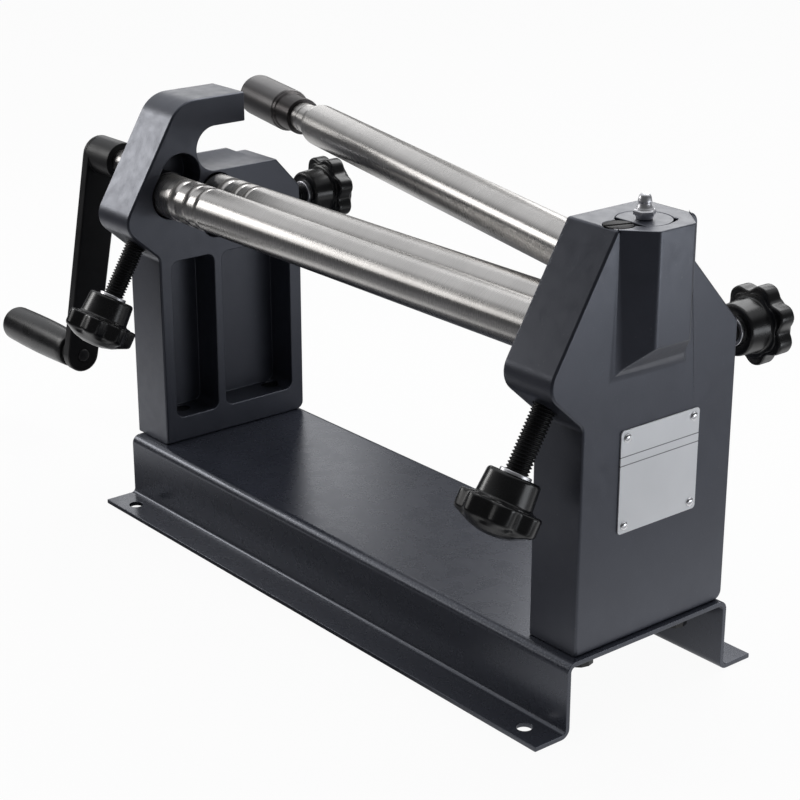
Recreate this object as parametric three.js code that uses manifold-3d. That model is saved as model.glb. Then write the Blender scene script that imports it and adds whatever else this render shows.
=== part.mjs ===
// Slip roll machine: a bent sheet base, two cast standards, two lower rolls, a top roll
// that swings out of its hook, four star knobs on threaded studs, and a crank.
// Millimetres, +Z up, +X along the rolls towards the swivel standard, +Y to the back.
// While modelling, x = 0 is the inner face of the hook standard and z = 0 is the underside
// of the base flanges. The finished group is moved so that its origin is the bottom centre.

import * as THREE from 'three';
import { mergeVertices } from 'three/addons/utils/BufferGeometryUtils.js';
import Module from 'manifold-3d';

const wasm = await Module();
wasm.setup();

const degrees = (value) => value * Math.PI / 180;

// Clearances
const SEAT_GAP = 0.05;          // between flat faces that rest on each other
const RUNNING_GAP = 0.15;       // radial, between a shaft and its bore
const SLIDE_GAP = 0.3;          // around a part that slides in its slot
const CUT_OVERRUN = 1;          // how far a cutting tool runs past the face it cuts

// Base: a bent sheet channel with two flanges
const SHEET = 2.5;
const BASE_LENGTH = 384;
const BASE_PAST_RIGHT = 3;      // how far the base runs past the swivel standard
const BASE_HEIGHT = 39.5;
const WEB_FRONT = -36.5;
const WEB_BACK = 74.5;
const FLANGE_WIDTH = 20;
const BEND_RADIUS = 2.5;        // inside radius of every bend
const FLANGE_HOLE_RADIUS = 4;
const FLANGE_HOLE_INSET = 18;   // from each end of the base
const FLANGE_HOLE_EDGE = 9.5;   // from the outer edge of the flange

// Standards: two castings of one pattern
const GAP = 320;                // between their inner faces
const THICK = 33;
const STANDARD_TOP = 247;
const COLUMN_FRONT = -28.8;
const COLUMN_BACK = 73.5;
const TOP_FRONT = -11.3;
const TOP_BACK = 41.3;
const FACE_TILT = degrees(31);  // lean of the front face and of the front studs
const NOSE_FOOT = 156.4;        // where the nose meets the column
const NOSE_UNDER = degrees(42); // slope of the nose's underside
const NOSE_RADIUS = 12;
const SLOPE_TOP = 223.3;
const SLOPE_FOOT = 187.8;
const HOOK_SLOPE_DROP = 3.3;    // the hook standard's back slope sits this much lower
const HOOK_CREST_RADIUS = 20;   // top front corner of the hook standard
const SWIVEL_CREST_RADIUS = 2;  // the same corner of the swivel standard
const CORNER_RADIUS = 5;
const EDGE_ROUND = 1.2;

// Cast recess with its rib
const RECESS_FRONT = -21;
const RECESS_BACK = 64.5;
const RECESS_FLOOR = 55;
const RECESS_TOP = 153;
const RECESS_DEPTH = 20.5;
const RECESS_CORNER = 5;
const RIB_Y = 12;
const RIB_WIDTH = 5.5;

// Rolls
const ROLL_RADIUS = 12.7;
const ROLL_CHAMFER = 0.6;
const FRONT_Y = -18.3;
const FRONT_Z = 192.6;
const PINCH_Y = 13;             // the rear roll, the top roll and the swivel share it
const REAR_Z = 188.4;
const PINCH_GAP = 2.6;          // between the rear roll and the closed top roll
const TOP_Z = REAR_Z + 2 * ROLL_RADIUS + PINCH_GAP;
const FRONT_JOURNAL = 9;
const REAR_JOURNAL = 8;
const FRONT_ROLL_ENTRY = 4;     // how far the front roll's body enters each standard
const REAR_ROLL_STAND_OFF = 1;  // between the rear roll's body and each standard
const WIDE_GROOVE_AT = 17.5;    // wire grooves at the hook end, measured from x = 0
const WIDE_GROOVE_RADIUS = 3.5;
const MIDDLE_GROOVE_AT = 31;
const MIDDLE_GROOVE_RADIUS = 2.5;
const FINE_GROOVE_AT = 41;
const FINE_GROOVE_RADIUS = 1.9;
const GROOVE_SHARE = 0.8;       // depth of a groove as a share of its radius

// Bearing blocks and the slots they slide in
const FRONT_POCKET_DEPTH = 17.5;
const REAR_POCKET_DEPTH = 24.5;
const BLOCK_END_GAP = 0.5;
const FRONT_BLOCK_RADIUS = 13.3;
const FRONT_BLOCK_FLAT = 12;    // from the bore to the flat the stud pushes on
const FRONT_TRAVEL = 12;
const REAR_BLOCK_RADIUS = 11.2;
const REAR_BLOCK_DROP = 6.4;    // from the bore to the block's lower arc centre
const REAR_TRAVEL_UP = 1.8;
const REAR_TRAVEL_DOWN = 6;

// Adjusting screws
const STUD_RADIUS = 5.9;
const STUD_CHAMFER = 1.5;
const STUD_INSET = 14.5;        // from the inner face to the screws' axes
const STUD_GRIP = 11;           // how far a stud reaches into its knob
const FRONT_HUB_FACE = 68;      // from the front roll's axis to the knob's hub
const LEFT_REAR_HUB_FACE = 86.5;    // y of the rear knobs' hubs
const RIGHT_REAR_HUB_FACE = 90.5;
const REAR_STUD_Z = 174;
const REAR_STUD_TIP = 36;       // y of the rear stud's inner end
const WEDGE_ANGLE = degrees(30);
const WEDGE_NOSE = 6.5;         // y of the wedge pin's blunt nose
const WEDGE_CONTACT_Y = 15;     // a point of the ramp
const WEDGE_CONTACT_Z = 176.5;

// Star knobs
const KNOB_LOBES = 7;
const KNOB_RADIUS = 21;
const KNOB_LOBE_DEPTH = 3.5;
const KNOB_LOBE_POWER = 1.4;    // above 1 the lobes are wider than the valleys
const KNOB_DISC = 11;
const KNOB_EDGE = 1.3;
const KNOB_DOME = 5;
const HUB_RADIUS = 13;
const HUB_FOOT_RADIUS = 14;
const HUB_HEIGHT = 14;
const HUB_EDGE = 1;
const INSERT_RADIUS = 8;
const INSERT_LENGTH = 13;
const INSERT_PROUD = 1.5;

// Hook for the top roll
const HOOK_TIP = 34.2;
const HOOK_BODY_GAP = 0.6;      // around the roll's body in the wide half
const HOOK_NECK_GAP = 1;        // around the roll's neck in the narrow half
const SEAT_START = 19;          // the seat for the roll's flare tapers from here,
const SEAT_END = 30;            // measured from the inner face, to here
const LIP_CREST = 42;
const LIP_DIP = 49;
const LIP_DIP_Z = 203.1;

// Top roll, measured from the swivel's axis while the roll is shut in its hook
const TOP_JOURNAL = 8;
const TOP_JOURNAL_END = 9.5;
const TOP_BODY_START = 35.5;
const TOP_BODY_END = 362.5;
const TOP_FLARE = 12;
const NECK_RADIUS = 9;
const SLEEVE_START = 391;
const SPIGOT_RADIUS = 6.5;
const SPIGOT_LENGTH = 42;
const COLLAR_RADIUS = 11.3;
const COLLAR_LENGTH = 18;
const COLLAR_BEVEL = 5;
const SLEEVE_RADIUS = 13.3;
const SLEEVE_LENGTH = 75;
const SLEEVE_ROUND = 2.5;
const SLEEVE_STEP = 1;          // steps and edges between the sleeve and its collar

// Swivel
const SWIVEL_INSET = 25.5;      // from the inner face to the swivel's axis
const SWIVEL_RADIUS = 13.35;
const SWIVEL_FLOOR = 203.5;
const SWING_OPEN = degrees(13.3);
const SWING_MORE = degrees(12.7);
const BOSS_PROUD = 13;          // the pad around the swivel over the outer face
const BOSS_FLAT = 10.2;         // half width of its flat face
const BOSS_CORNER = 3;
const BOSS_FOOT = 178.5;        // where the pad runs out on the outer face
const STOP_Y = -3.5;
const STOP_RADIUS = 7.1;
const STOP_HEAD = 3.4;
const STOP_SHANK_RADIUS = 2.5;
const STOP_SHANK = 16;
const STOP_SLOT = 1.6;
const STOP_NOTCH_DEPTH = 4.5;
const NIPPLE_FOOT = 3.7;        // round foot of the nipple, widening up to its hexagon
const NIPPLE_FOOT_HEIGHT = 2;
const NIPPLE_HEX = 5.4;         // corner radius of the hexagon
const NIPPLE_HEX_TOP = 4.4;
const NIPPLE_HEIGHT = 12;
const NIPPLE_NECK = 2.4;
const NIPPLE_HEAD = 3;          // radius of the egg-shaped head
const NIPPLE_HEAD_RISE = 2.4;   // from its widest place to its flat top
const NIPPLE_TOP = 1.2;
const NIPPLE_SHANK = 2.9;
const GREASE_GROOVE = 1.4;
const GREASE_GROOVE_WIDTH = 8;

// Crank
const CRANK_INNER = 104;        // hub face, measured outwards from x = 0
const CRANK_OUTER = 133.5;
const CRANK_HUB_RADIUS = 12.2;
const ARM_THICK = 7.5;
const ARM_END_RADIUS = 11.2;
const CRANK_RADIUS = 131.3;
const CRANK_LEAN = degrees(10.4);
const SET_SCREW_RADIUS = 3;
const SET_SCREW_LENGTH = 4;
const PIN_RADIUS = 4;
const PIN_SHOULDER_RADIUS = 8.8;
const PIN_SHOULDER = 5.5;
const PIN_HEAD_RADIUS = 6.5;
const PIN_HEAD = 3;
const PIN_HEAD_CHAMFER = 1;
const PIN_PROUD = 0.5;          // how far the riveted end stands out of the arm
const GRIP_LENGTH = 76;
const GRIP_START_RADIUS = 11;
const GRIP_RADIUS = 12;
const GRIP_END_RADIUS = 11.5;
const GRIP_ROUND = 4;
const GRIP_START_ROUND = 1;
const GRIP_SINK = 5;            // depth of the pocket for the pin's head

// Fasteners and nameplate
const BOLT_INSET = 14.5;        // from the inner face to the bolts' axes
const BOLT_FRONT = -9;
const BOLT_BACK = 57.5;
const BOLT_RADIUS = 5;
const BOLT_HEAD_RADIUS = 8;
const BOLT_HEAD = 10;
const BOLT_SOCKET_RADIUS = 4.6; // over the corners of the hexagon socket
const BOLT_SOCKET_DEPTH = 5;
const BOLT_END_DROP = 1;        // how far a bolt's end lies under the recess floor
const WASHER_RADIUS = 10;
const WASHER_THICK = 2.5;
const PLATE_FRONT = -4.5;
const PLATE_WIDTH = 53;
const PLATE_FOOT = 96.8;
const PLATE_HEIGHT = 52.7;
const PLATE_THICK = 0.8;
const PLATE_CORNER = 2;
const RIVET_INSET = 4;
const RIVET_RADIUS = 1;
const RIVET_HEAD_RADIUS = 2.4;
const RIVET_HEAD = 1.3;
const RIVET_LENGTH = 5;

// Facets
const ROUND = 32;               // sides of a large round piece
const ROUND_SMALL = 20;         // sides of a small round piece
const ROUND_TINY = 12;          // sides of a rivet, the nipple, a base bolt or its washer
const ARC_STEPS = 4;            // steps along a rounded corner
const LOBE_STEPS = 6;           // steps along a knob's lobe
const FLARE_STEPS = 6;          // steps along the top roll's flare and along the grip

// Derived places
const LEFT = -1;
const RIGHT = 1;
const SIDES = [                 // the turns are those of the knobs, in degrees
  { side: LEFT, word: 'left', rearHub: LEFT_REAR_HUB_FACE, frontTurn: 5, rearTurn: 18 },
  { side: RIGHT, word: 'right', rearHub: RIGHT_REAR_HUB_FACE, frontTurn: 12.7, rearTurn: 24.5 },
];
const GROOVES = [
  { at: WIDE_GROOVE_AT, radius: WIDE_GROOVE_RADIUS },
  { at: MIDDLE_GROOVE_AT, radius: MIDDLE_GROOVE_RADIUS },
  { at: FINE_GROOVE_AT, radius: FINE_GROOVE_RADIUS },
];
const SWIVEL_X = GAP + SWIVEL_INSET;
const FRONT_SLOT_RADIUS = FRONT_BLOCK_RADIUS + SLIDE_GAP;
const REAR_SLOT_RADIUS = REAR_BLOCK_RADIUS + SLIDE_GAP;
const SCREW_HOLE = STUD_RADIUS + SLIDE_GAP;
const BOLT_HOLE = BOLT_RADIUS + SLIDE_GAP;
const FRONT_DIRECTION = new THREE.Vector2(Math.sin(FACE_TILT), Math.cos(FACE_TILT));

// Materials
function finish(color, roughness, metalness) {
  return () => new THREE.MeshStandardMaterial({ color, roughness, metalness });
}

const paint = finish(0x3c3f47, 0.5, 0.1);
const steel = finish(0xb9b3ab, 0.3, 1);
const darkSteel = finish(0x4a4742, 0.35, 0.9);
const blackOxide = finish(0x17171a, 0.45, 0.8);
const zinc = finish(0xaeb0b5, 0.25, 1);
const aluminium = finish(0xc6c7ca, 0.4, 0.9);
const plastic = finish(0x0d0d0f, 0.25, 0);
const blackPaint = finish(0x141416, 0.4, 0.1);
const castBlock = finish(0x5d5f63, 0.5, 0.8);

// Solid helpers
function toSolid(geometry) {
  const bare = geometry.clone();
  bare.deleteAttribute('normal');
  bare.deleteAttribute('uv');
  const merged = mergeVertices(bare, 1e-4);
  const vertProperties = new Float32Array(merged.attributes.position.array);
  const triVerts = new Uint32Array(merged.index.array);
  return new wasm.Manifold(new wasm.Mesh({ numProp: 3, vertProperties, triVerts }));
}

function toGeometry(solid) {
  const mesh = solid.getMesh();
  const geometry = new THREE.BufferGeometry();
  geometry.setAttribute('position', new THREE.BufferAttribute(mesh.vertProperties, 3));
  geometry.setIndex(new THREE.BufferAttribute(mesh.triVerts, 1));
  return geometry;
}

function addPart(parent, name, solid, material) {
  const geometry = toGeometry(solid).toNonIndexed();
  geometry.computeVertexNormals();
  const mesh = new THREE.Mesh(geometry, material);
  mesh.name = name;
  parent.add(mesh);
  return mesh;
}

// A closed outline from corners [u, v, radius], with an arc at each rounded corner.
function outline(corners) {
  const shape = new THREE.Shape();
  const count = corners.length;
  corners.forEach(([u, v, radius = 0], i) => {
    const here = new THREE.Vector2(u, v);
    const before = new THREE.Vector2(...corners[(i + count - 1) % count].slice(0, 2));
    const after = new THREE.Vector2(...corners[(i + 1) % count].slice(0, 2));
    const back = before.sub(here).normalize();
    const on = after.sub(here).normalize();
    const half = Math.acos(THREE.MathUtils.clamp(back.dot(on), -1, 1)) / 2;
    const reach = radius / Math.tan(half);
    const start = here.clone().addScaledVector(back, reach);
    const end = here.clone().addScaledVector(on, reach);
    if (i === 0) {
      shape.moveTo(start.x, start.y);
    } else {
      shape.lineTo(start.x, start.y);
    }
    if (radius > 0) {
      const middle = back.clone().add(on).normalize();
      const centre = here.clone().addScaledVector(middle, radius / Math.sin(half));
      const from = Math.atan2(start.y - centre.y, start.x - centre.x);
      const to = Math.atan2(end.y - centre.y, end.x - centre.x);
      const clockwise = back.x * on.y - back.y * on.x > 0;
      shape.absarc(centre.x, centre.y, radius, from, to, clockwise);
    }
  });
  shape.closePath();
  return shape;
}

// A slot outline: two arcs of one radius joined by straight sides.
function stadium(start, end, radius, endRadius = radius) {
  const shape = new THREE.Shape();
  const heading = Math.atan2(end.y - start.y, end.x - start.x);
  const spread = Math.acos((radius - endRadius) / start.distanceTo(end));
  shape.absarc(end.x, end.y, endRadius, heading - spread, heading + spread, false);
  shape.absarc(start.x, start.y, radius, heading + spread, heading - spread, false);
  shape.closePath();
  return shape;
}

// A (y, z) outline made solid between two places along x.
function slab(shape, x0, x1, edge = 0, arcSteps = ARC_STEPS) {
  const low = Math.min(x0, x1);
  const depth = Math.abs(x1 - x0) - 2 * edge;
  const geometry = new THREE.ExtrudeGeometry(shape, {
    depth,
    curveSegments: arcSteps,
    bevelEnabled: edge > 0,
    bevelThickness: edge,
    bevelSize: edge,
    bevelOffset: -edge,
    bevelSegments: 2,
  });
  geometry.translate(0, 0, low + edge);
  const swap = new THREE.Matrix4().set(0, 0, 1, 0, 1, 0, 0, 0, 0, 1, 0, 0, 0, 0, 0, 1);
  geometry.applyMatrix4(swap);
  return toSolid(geometry);
}

// A turned piece about z from [radius, z] pairs that start and end on the axis.
function turned(profile, sides = ROUND) {
  const points = profile.map(([radius, z]) => new THREE.Vector2(radius, z));
  const geometry = new THREE.LatheGeometry(points, sides);
  geometry.rotateX(Math.PI / 2);
  return toSolid(geometry);
}

// The same piece laid along +x.
function turnedAlongX(profile, sides = ROUND) {
  return turned(profile, sides).rotate([0, 90, 0]);
}

function rod(radius, z0, z1, sides = ROUND) {
  return turned([[0, z0], [radius, z0], [radius, z1], [0, z1]], sides);
}

function rodAlongX(radius, x0, x1, sides = ROUND) {
  return turnedAlongX([[0, x0], [radius, x0], [radius, x1], [0, x1]], sides);
}

function box(x0, x1, y0, y1, z0, z1) {
  const geometry = new THREE.BoxGeometry(x1 - x0, y1 - y0, z1 - z0);
  geometry.translate((x0 + x1) / 2, (y0 + y1) / 2, (z0 + z1) / 2);
  return toSolid(geometry);
}

function hexagon(radius, z0, z1) {
  return rod(radius, z0, z1, 6);
}

// The place along x that lies a depth into a standard, measured from its inner face.
function into(side, depth) {
  return side === LEFT ? -depth : GAP + depth;
}

function frontPoint(up) {
  return new THREE.Vector2(FRONT_Y, FRONT_Z).addScaledVector(FRONT_DIRECTION, up);
}

// Base
function baseChannel() {
  const right = GAP + THICK + BASE_PAST_RIGHT;
  const left = right - BASE_LENGTH;
  const front = WEB_FRONT - FLANGE_WIDTH;
  const back = WEB_BACK + FLANGE_WIDTH;
  const outerBend = BEND_RADIUS + SHEET;
  const section = outline([
    [front, 0],
    [WEB_FRONT + SHEET, 0, outerBend],
    [WEB_FRONT + SHEET, BASE_HEIGHT - SHEET, BEND_RADIUS],
    [WEB_BACK - SHEET, BASE_HEIGHT - SHEET, BEND_RADIUS],
    [WEB_BACK - SHEET, 0, outerBend],
    [back, 0],
    [back, SHEET],
    [WEB_BACK, SHEET, BEND_RADIUS],
    [WEB_BACK, BASE_HEIGHT, outerBend],
    [WEB_FRONT, BASE_HEIGHT, outerBend],
    [WEB_FRONT, SHEET, BEND_RADIUS],
    [front, SHEET],
  ]);
  let channel = slab(section, left, right);
  for (const x of [left + FLANGE_HOLE_INSET, right - FLANGE_HOLE_INSET]) {
    for (const y of [front + FLANGE_HOLE_EDGE, back - FLANGE_HOLE_EDGE]) {
      const hole = rod(FLANGE_HOLE_RADIUS, -CUT_OVERRUN, SHEET + CUT_OVERRUN, ROUND_SMALL);
      channel = channel.subtract(hole.translate([x, y, 0]));
    }
  }
  for (const { side } of SIDES) {
    for (const y of [BOLT_FRONT, BOLT_BACK]) {
      const under = BASE_HEIGHT - SHEET - CUT_OVERRUN;
      const hole = rod(BOLT_HOLE, under, BASE_HEIGHT + CUT_OVERRUN, ROUND_TINY);
      channel = channel.subtract(hole.translate([into(side, BOLT_INSET), y, 0]));
    }
  }
  return channel;
}

// Standards
function standardOutline(side) {
  const crest = side === LEFT ? HOOK_CREST_RADIUS : SWIVEL_CREST_RADIUS;
  const drop = side === LEFT ? HOOK_SLOPE_DROP : 0;
  const rise = Math.tan(NOSE_UNDER);
  const lean = Math.tan(FACE_TILT);
  const faceAtColumn = TOP_FRONT - lean * (STANDARD_TOP - NOSE_FOOT) - COLUMN_FRONT;
  const noseY = COLUMN_FRONT + faceAtColumn / (1 + lean * rise);
  const noseZ = NOSE_FOOT + (COLUMN_FRONT - noseY) * rise;
  return outline([
    [COLUMN_FRONT, BASE_HEIGHT + SEAT_GAP],
    [COLUMN_BACK, BASE_HEIGHT + SEAT_GAP, CORNER_RADIUS],
    [COLUMN_BACK, SLOPE_FOOT - drop],
    [TOP_BACK, SLOPE_TOP - drop],
    [TOP_BACK, STANDARD_TOP, CORNER_RADIUS],
    [TOP_FRONT, STANDARD_TOP, crest],
    [noseY, noseZ, NOSE_RADIUS],
    [COLUMN_FRONT, NOSE_FOOT, CORNER_RADIUS],
  ]);
}

function recessBay(side, front, back) {
  const bay = outline([
    [front, RECESS_FLOOR, RECESS_CORNER],
    [back, RECESS_FLOOR, RECESS_CORNER],
    [back, RECESS_TOP, RECESS_CORNER],
    [front, RECESS_TOP, RECESS_CORNER],
  ]);
  return slab(bay, into(side, -CUT_OVERRUN), into(side, RECESS_DEPTH));
}

function frontPocket(side) {
  const slot = stadium(frontPoint(0), frontPoint(FRONT_TRAVEL + SLIDE_GAP), FRONT_SLOT_RADIUS);
  const mouth = into(side, -CUT_OVERRUN);
  const pocket = slab(slot, mouth, into(side, FRONT_POCKET_DEPTH), 0, 2 * ARC_STEPS);
  const hole = rod(SCREW_HOLE, -FRONT_HUB_FACE, 0, ROUND_SMALL)
    .rotate([-FACE_TILT * 180 / Math.PI, 0, 0])
    .translate([into(side, STUD_INSET), FRONT_Y, FRONT_Z]);
  return pocket.add(hole);
}

function rearPocket(side) {
  const low = new THREE.Vector2(PINCH_Y, REAR_STUD_Z);
  const high = new THREE.Vector2(PINCH_Y, REAR_Z + REAR_TRAVEL_UP);
  const slot = stadium(low, high, REAR_SLOT_RADIUS);
  const mouth = into(side, -CUT_OVERRUN);
  const pocket = slab(slot, mouth, into(side, REAR_POCKET_DEPTH), 0, 2 * ARC_STEPS);
  const hole = rod(SCREW_HOLE, 0, COLUMN_BACK - PINCH_Y + CUT_OVERRUN, ROUND_SMALL)
    .rotate([-90, 0, 0])
    .translate([into(side, STUD_INSET), PINCH_Y, REAR_STUD_Z]);
  return pocket.add(hole);
}

// The pad around the swivel has a flat face, and its sides and its foot slope at 45 degrees.
function swivelBoss() {
  const face = GAP + THICK;
  const root = BOSS_FLAT + BOSS_PROUD;
  const half = [
    [SWIVEL_X, root],
    [face, root],
    [face + BOSS_PROUD, BOSS_FLAT, BOSS_CORNER],
  ];
  const otherHalf = half.map(([x, y, radius]) => [x, -y, radius]).reverse();
  const depth = STANDARD_TOP - BOSS_FOOT + BOSS_PROUD;
  const geometry = new THREE.ExtrudeGeometry(outline([...half, ...otherHalf]), {
    depth,
    curveSegments: ARC_STEPS / 2,
    bevelEnabled: false,
  });
  geometry.translate(0, PINCH_Y, STANDARD_TOP - depth);
  return toSolid(geometry)
    .trimByPlane([-Math.SQRT1_2, 0, Math.SQRT1_2], (BOSS_FOOT - face) * Math.SQRT1_2);
}

function castStandard(side) {
  let casting = slab(standardOutline(side), into(side, 0), into(side, THICK), EDGE_ROUND);
  if (side === RIGHT) {
    casting = casting.add(swivelBoss());
  }
  casting = casting.subtract(recessBay(side, RECESS_FRONT, RIB_Y - RIB_WIDTH / 2));
  casting = casting.subtract(recessBay(side, RIB_Y + RIB_WIDTH / 2, RECESS_BACK));
  casting = casting.subtract(frontPocket(side));
  casting = casting.subtract(rearPocket(side));
  for (const y of [BOLT_FRONT, BOLT_BACK]) {
    const foot = BASE_HEIGHT - CUT_OVERRUN;
    const tapped = rod(BOLT_HOLE, foot, RECESS_FLOOR + CUT_OVERRUN, ROUND_TINY);
    casting = casting.subtract(tapped.translate([into(side, BOLT_INSET), y, 0]));
  }
  return casting;
}

// The hook's opening seen from the side: round in front, open to the back.
function hookOpening(radius, lip) {
  const far = COLUMN_BACK + CUT_OVERRUN;
  const high = STANDARD_TOP + CUT_OVERRUN;
  const shape = new THREE.Shape();
  shape.absarc(PINCH_Y, TOP_Z, radius, Math.PI / 2, 3 * Math.PI / 2, false);
  lip.forEach(([y, z]) => shape.lineTo(y, z));
  shape.lineTo(far, lip[lip.length - 1][1]);
  shape.lineTo(far, high);
  shape.lineTo(HOOK_TIP, high);
  shape.lineTo(HOOK_TIP, TOP_Z + radius);
  shape.closePath();
  return shape;
}

// The tapered seat between the wide and the narrow half of the hook.
function flareSeat(wide, narrow) {
  const slices = [[SEAT_START, wide], [SEAT_END, narrow]].map(([depth, radius]) => {
    const start = new THREE.Vector2(PINCH_Y, TOP_Z);
    const end = new THREE.Vector2(COLUMN_BACK + 2 * radius, TOP_Z);
    const steps = 3 * ARC_STEPS;
    return slab(stadium(start, end, radius), -depth, -depth - SEAT_GAP, 0, steps);
  });
  return wasm.Manifold.hull(slices);
}

function leftStandard() {
  const wide = ROLL_RADIUS + HOOK_BODY_GAP;
  const narrow = NECK_RADIUS + HOOK_NECK_GAP;
  const wideCut = hookOpening(wide, [[LIP_DIP, TOP_Z - wide]]);
  const narrowCut = hookOpening(narrow, [
    [LIP_CREST, TOP_Z - narrow],
    [LIP_DIP, LIP_DIP_Z],
  ]);
  const steps = 3 * ARC_STEPS;
  const low = new THREE.Vector2(PINCH_Y, REAR_Z - REAR_TRAVEL_DOWN);
  const high = new THREE.Vector2(PINCH_Y, REAR_Z + REAR_TRAVEL_UP);
  const shaftSlot = stadium(low, high, REAR_JOURNAL + 2 * SLIDE_GAP);
  return castStandard(LEFT)
    .subtract(slab(wideCut, CUT_OVERRUN, -SEAT_START, 0, steps))
    .subtract(flareSeat(wide, narrow))
    .subtract(slab(narrowCut, CUT_OVERRUN, -THICK - CUT_OVERRUN, 0, steps))
    .subtract(slab(shaftSlot, -THICK / 2, -THICK - CUT_OVERRUN, 0, 2 * ARC_STEPS));
}

function rightStandard() {
  const outer = GAP + THICK;
  let casting = castStandard(RIGHT);
  const bore = rod(SWIVEL_RADIUS + RUNNING_GAP, SWIVEL_FLOOR, STANDARD_TOP + CUT_OVERRUN);
  casting = casting.subtract(bore.translate([SWIVEL_X, PINCH_Y, 0]));
  const journal = TOP_JOURNAL + 2 * SLIDE_GAP;
  const swing = SWING_OPEN + SWING_MORE;
  const windowBack = PINCH_Y + SWIVEL_INSET * Math.tan(swing) + journal / Math.cos(swing);
  casting = casting.subtract(box(
    GAP - CUT_OVERRUN, SWIVEL_X,
    PINCH_Y - journal, windowBack,
    TOP_Z - journal, TOP_Z + journal,
  ));
  const under = STANDARD_TOP - STOP_HEAD;
  const head = rod(STOP_RADIUS + SLIDE_GAP, under - SLIDE_GAP, STANDARD_TOP + CUT_OVERRUN);
  const shankFoot = under - STOP_SHANK - CUT_OVERRUN;
  const shank = rod(STOP_SHANK_RADIUS + RUNNING_GAP, shankFoot, STANDARD_TOP, ROUND_TINY);
  casting = casting.subtract(head.add(shank).translate([SWIVEL_X, STOP_Y, 0]));
  for (const [y, z] of rivetPlaces()) {
    const radius = RIVET_RADIUS + RUNNING_GAP;
    const hole = rodAlongX(radius, outer - RIVET_LENGTH, outer + CUT_OVERRUN, ROUND_TINY);
    casting = casting.subtract(hole.translate([0, y, z]));
  }
  return casting;
}

// Rolls: [radius, x] pairs, from the hook end to the swivel end
function grooveArc({ at, radius }) {
  const points = [];
  for (let i = 0; i <= ARC_STEPS; i += 1) {
    const angle = Math.PI * i / ARC_STEPS;
    const depth = GROOVE_SHARE * radius * Math.sin(angle);
    points.push([ROLL_RADIUS - depth, at - radius * Math.cos(angle)]);
  }
  return points;
}

function lowerRoll(bodyStart, bodyEnd, journal, shaftStart, shaftEnd) {
  const shoulder = ROLL_RADIUS - ROLL_CHAMFER;
  return turnedAlongX([
    [0, shaftStart],
    [journal - ROLL_CHAMFER, shaftStart],
    [journal, shaftStart + ROLL_CHAMFER],
    [journal, bodyStart],
    [shoulder, bodyStart],
    [ROLL_RADIUS, bodyStart + ROLL_CHAMFER],
    ...GROOVES.flatMap(grooveArc),
    [ROLL_RADIUS, bodyEnd - ROLL_CHAMFER],
    [shoulder, bodyEnd],
    [journal, bodyEnd],
    [journal, shaftEnd],
    [0, shaftEnd],
  ]);
}

function frontRoll() {
  const end = FRONT_POCKET_DEPTH - BLOCK_END_GAP;
  return lowerRoll(-FRONT_ROLL_ENTRY, GAP + FRONT_ROLL_ENTRY, FRONT_JOURNAL, -end, GAP + end)
    .translate([0, FRONT_Y, FRONT_Z]);
}

function rearRoll() {
  const end = REAR_POCKET_DEPTH - BLOCK_END_GAP;
  const start = -CRANK_OUTER + SEAT_GAP;
  return lowerRoll(REAR_ROLL_STAND_OFF, GAP - REAR_ROLL_STAND_OFF, REAR_JOURNAL, start, GAP + end)
    .translate([0, PINCH_Y, REAR_Z]);
}

// The top roll and its sleeve lie along -x from the swivel's axis.
function topRoll() {
  const shoulder = ROLL_RADIUS - ROLL_CHAMFER;
  const flare = [];
  for (let i = 0; i <= FLARE_STEPS; i += 1) {
    const along = i / FLARE_STEPS;
    const swell = (ROLL_RADIUS - NECK_RADIUS) * Math.sin(along * Math.PI / 2);
    flare.push([NECK_RADIUS + swell, -TOP_BODY_END - TOP_FLARE * (1 - along)]);
  }
  const groove = GREASE_GROOVE_WIDTH / 2;
  return turnedAlongX([
    [0, -SLEEVE_START - SPIGOT_LENGTH],
    [SPIGOT_RADIUS, -SLEEVE_START - SPIGOT_LENGTH],
    [SPIGOT_RADIUS, -SLEEVE_START],
    [NECK_RADIUS, -SLEEVE_START],
    ...flare,
    [ROLL_RADIUS, -TOP_BODY_START - ROLL_CHAMFER],
    [shoulder, -TOP_BODY_START],
    [TOP_JOURNAL, -TOP_BODY_START],
    [TOP_JOURNAL, -groove],
    [TOP_JOURNAL - GREASE_GROOVE, -groove],
    [TOP_JOURNAL - GREASE_GROOVE, groove],
    [TOP_JOURNAL, groove],
    [TOP_JOURNAL, TOP_JOURNAL_END],
    [0, TOP_JOURNAL_END],
  ]);
}

function topRollSleeve() {
  const start = -SLEEVE_START - SEAT_GAP;
  const bevel = start - COLLAR_LENGTH;
  const end = start - SLEEVE_LENGTH;
  const bore = SPIGOT_RADIUS + RUNNING_GAP;
  const edge = SLEEVE_ROUND * (1 - Math.SQRT1_2);
  return turnedAlongX([
    [0, end],
    [SLEEVE_RADIUS - SLEEVE_ROUND, end],
    [SLEEVE_RADIUS - edge, end + edge],
    [SLEEVE_RADIUS, end + SLEEVE_ROUND],
    [SLEEVE_RADIUS, bevel - COLLAR_BEVEL + SLEEVE_STEP],
    [SLEEVE_RADIUS - SLEEVE_STEP, bevel - COLLAR_BEVEL + 2 * SLEEVE_STEP],
    [SLEEVE_RADIUS - SLEEVE_STEP, bevel - SLEEVE_STEP],
    [COLLAR_RADIUS, bevel],
    [COLLAR_RADIUS, start - SLEEVE_STEP],
    [COLLAR_RADIUS - SLEEVE_STEP, start],
    [bore, start],
    [bore, start - SPIGOT_LENGTH - SEAT_GAP],
    [0, start - SPIGOT_LENGTH - SEAT_GAP],
  ]);
}

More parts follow.
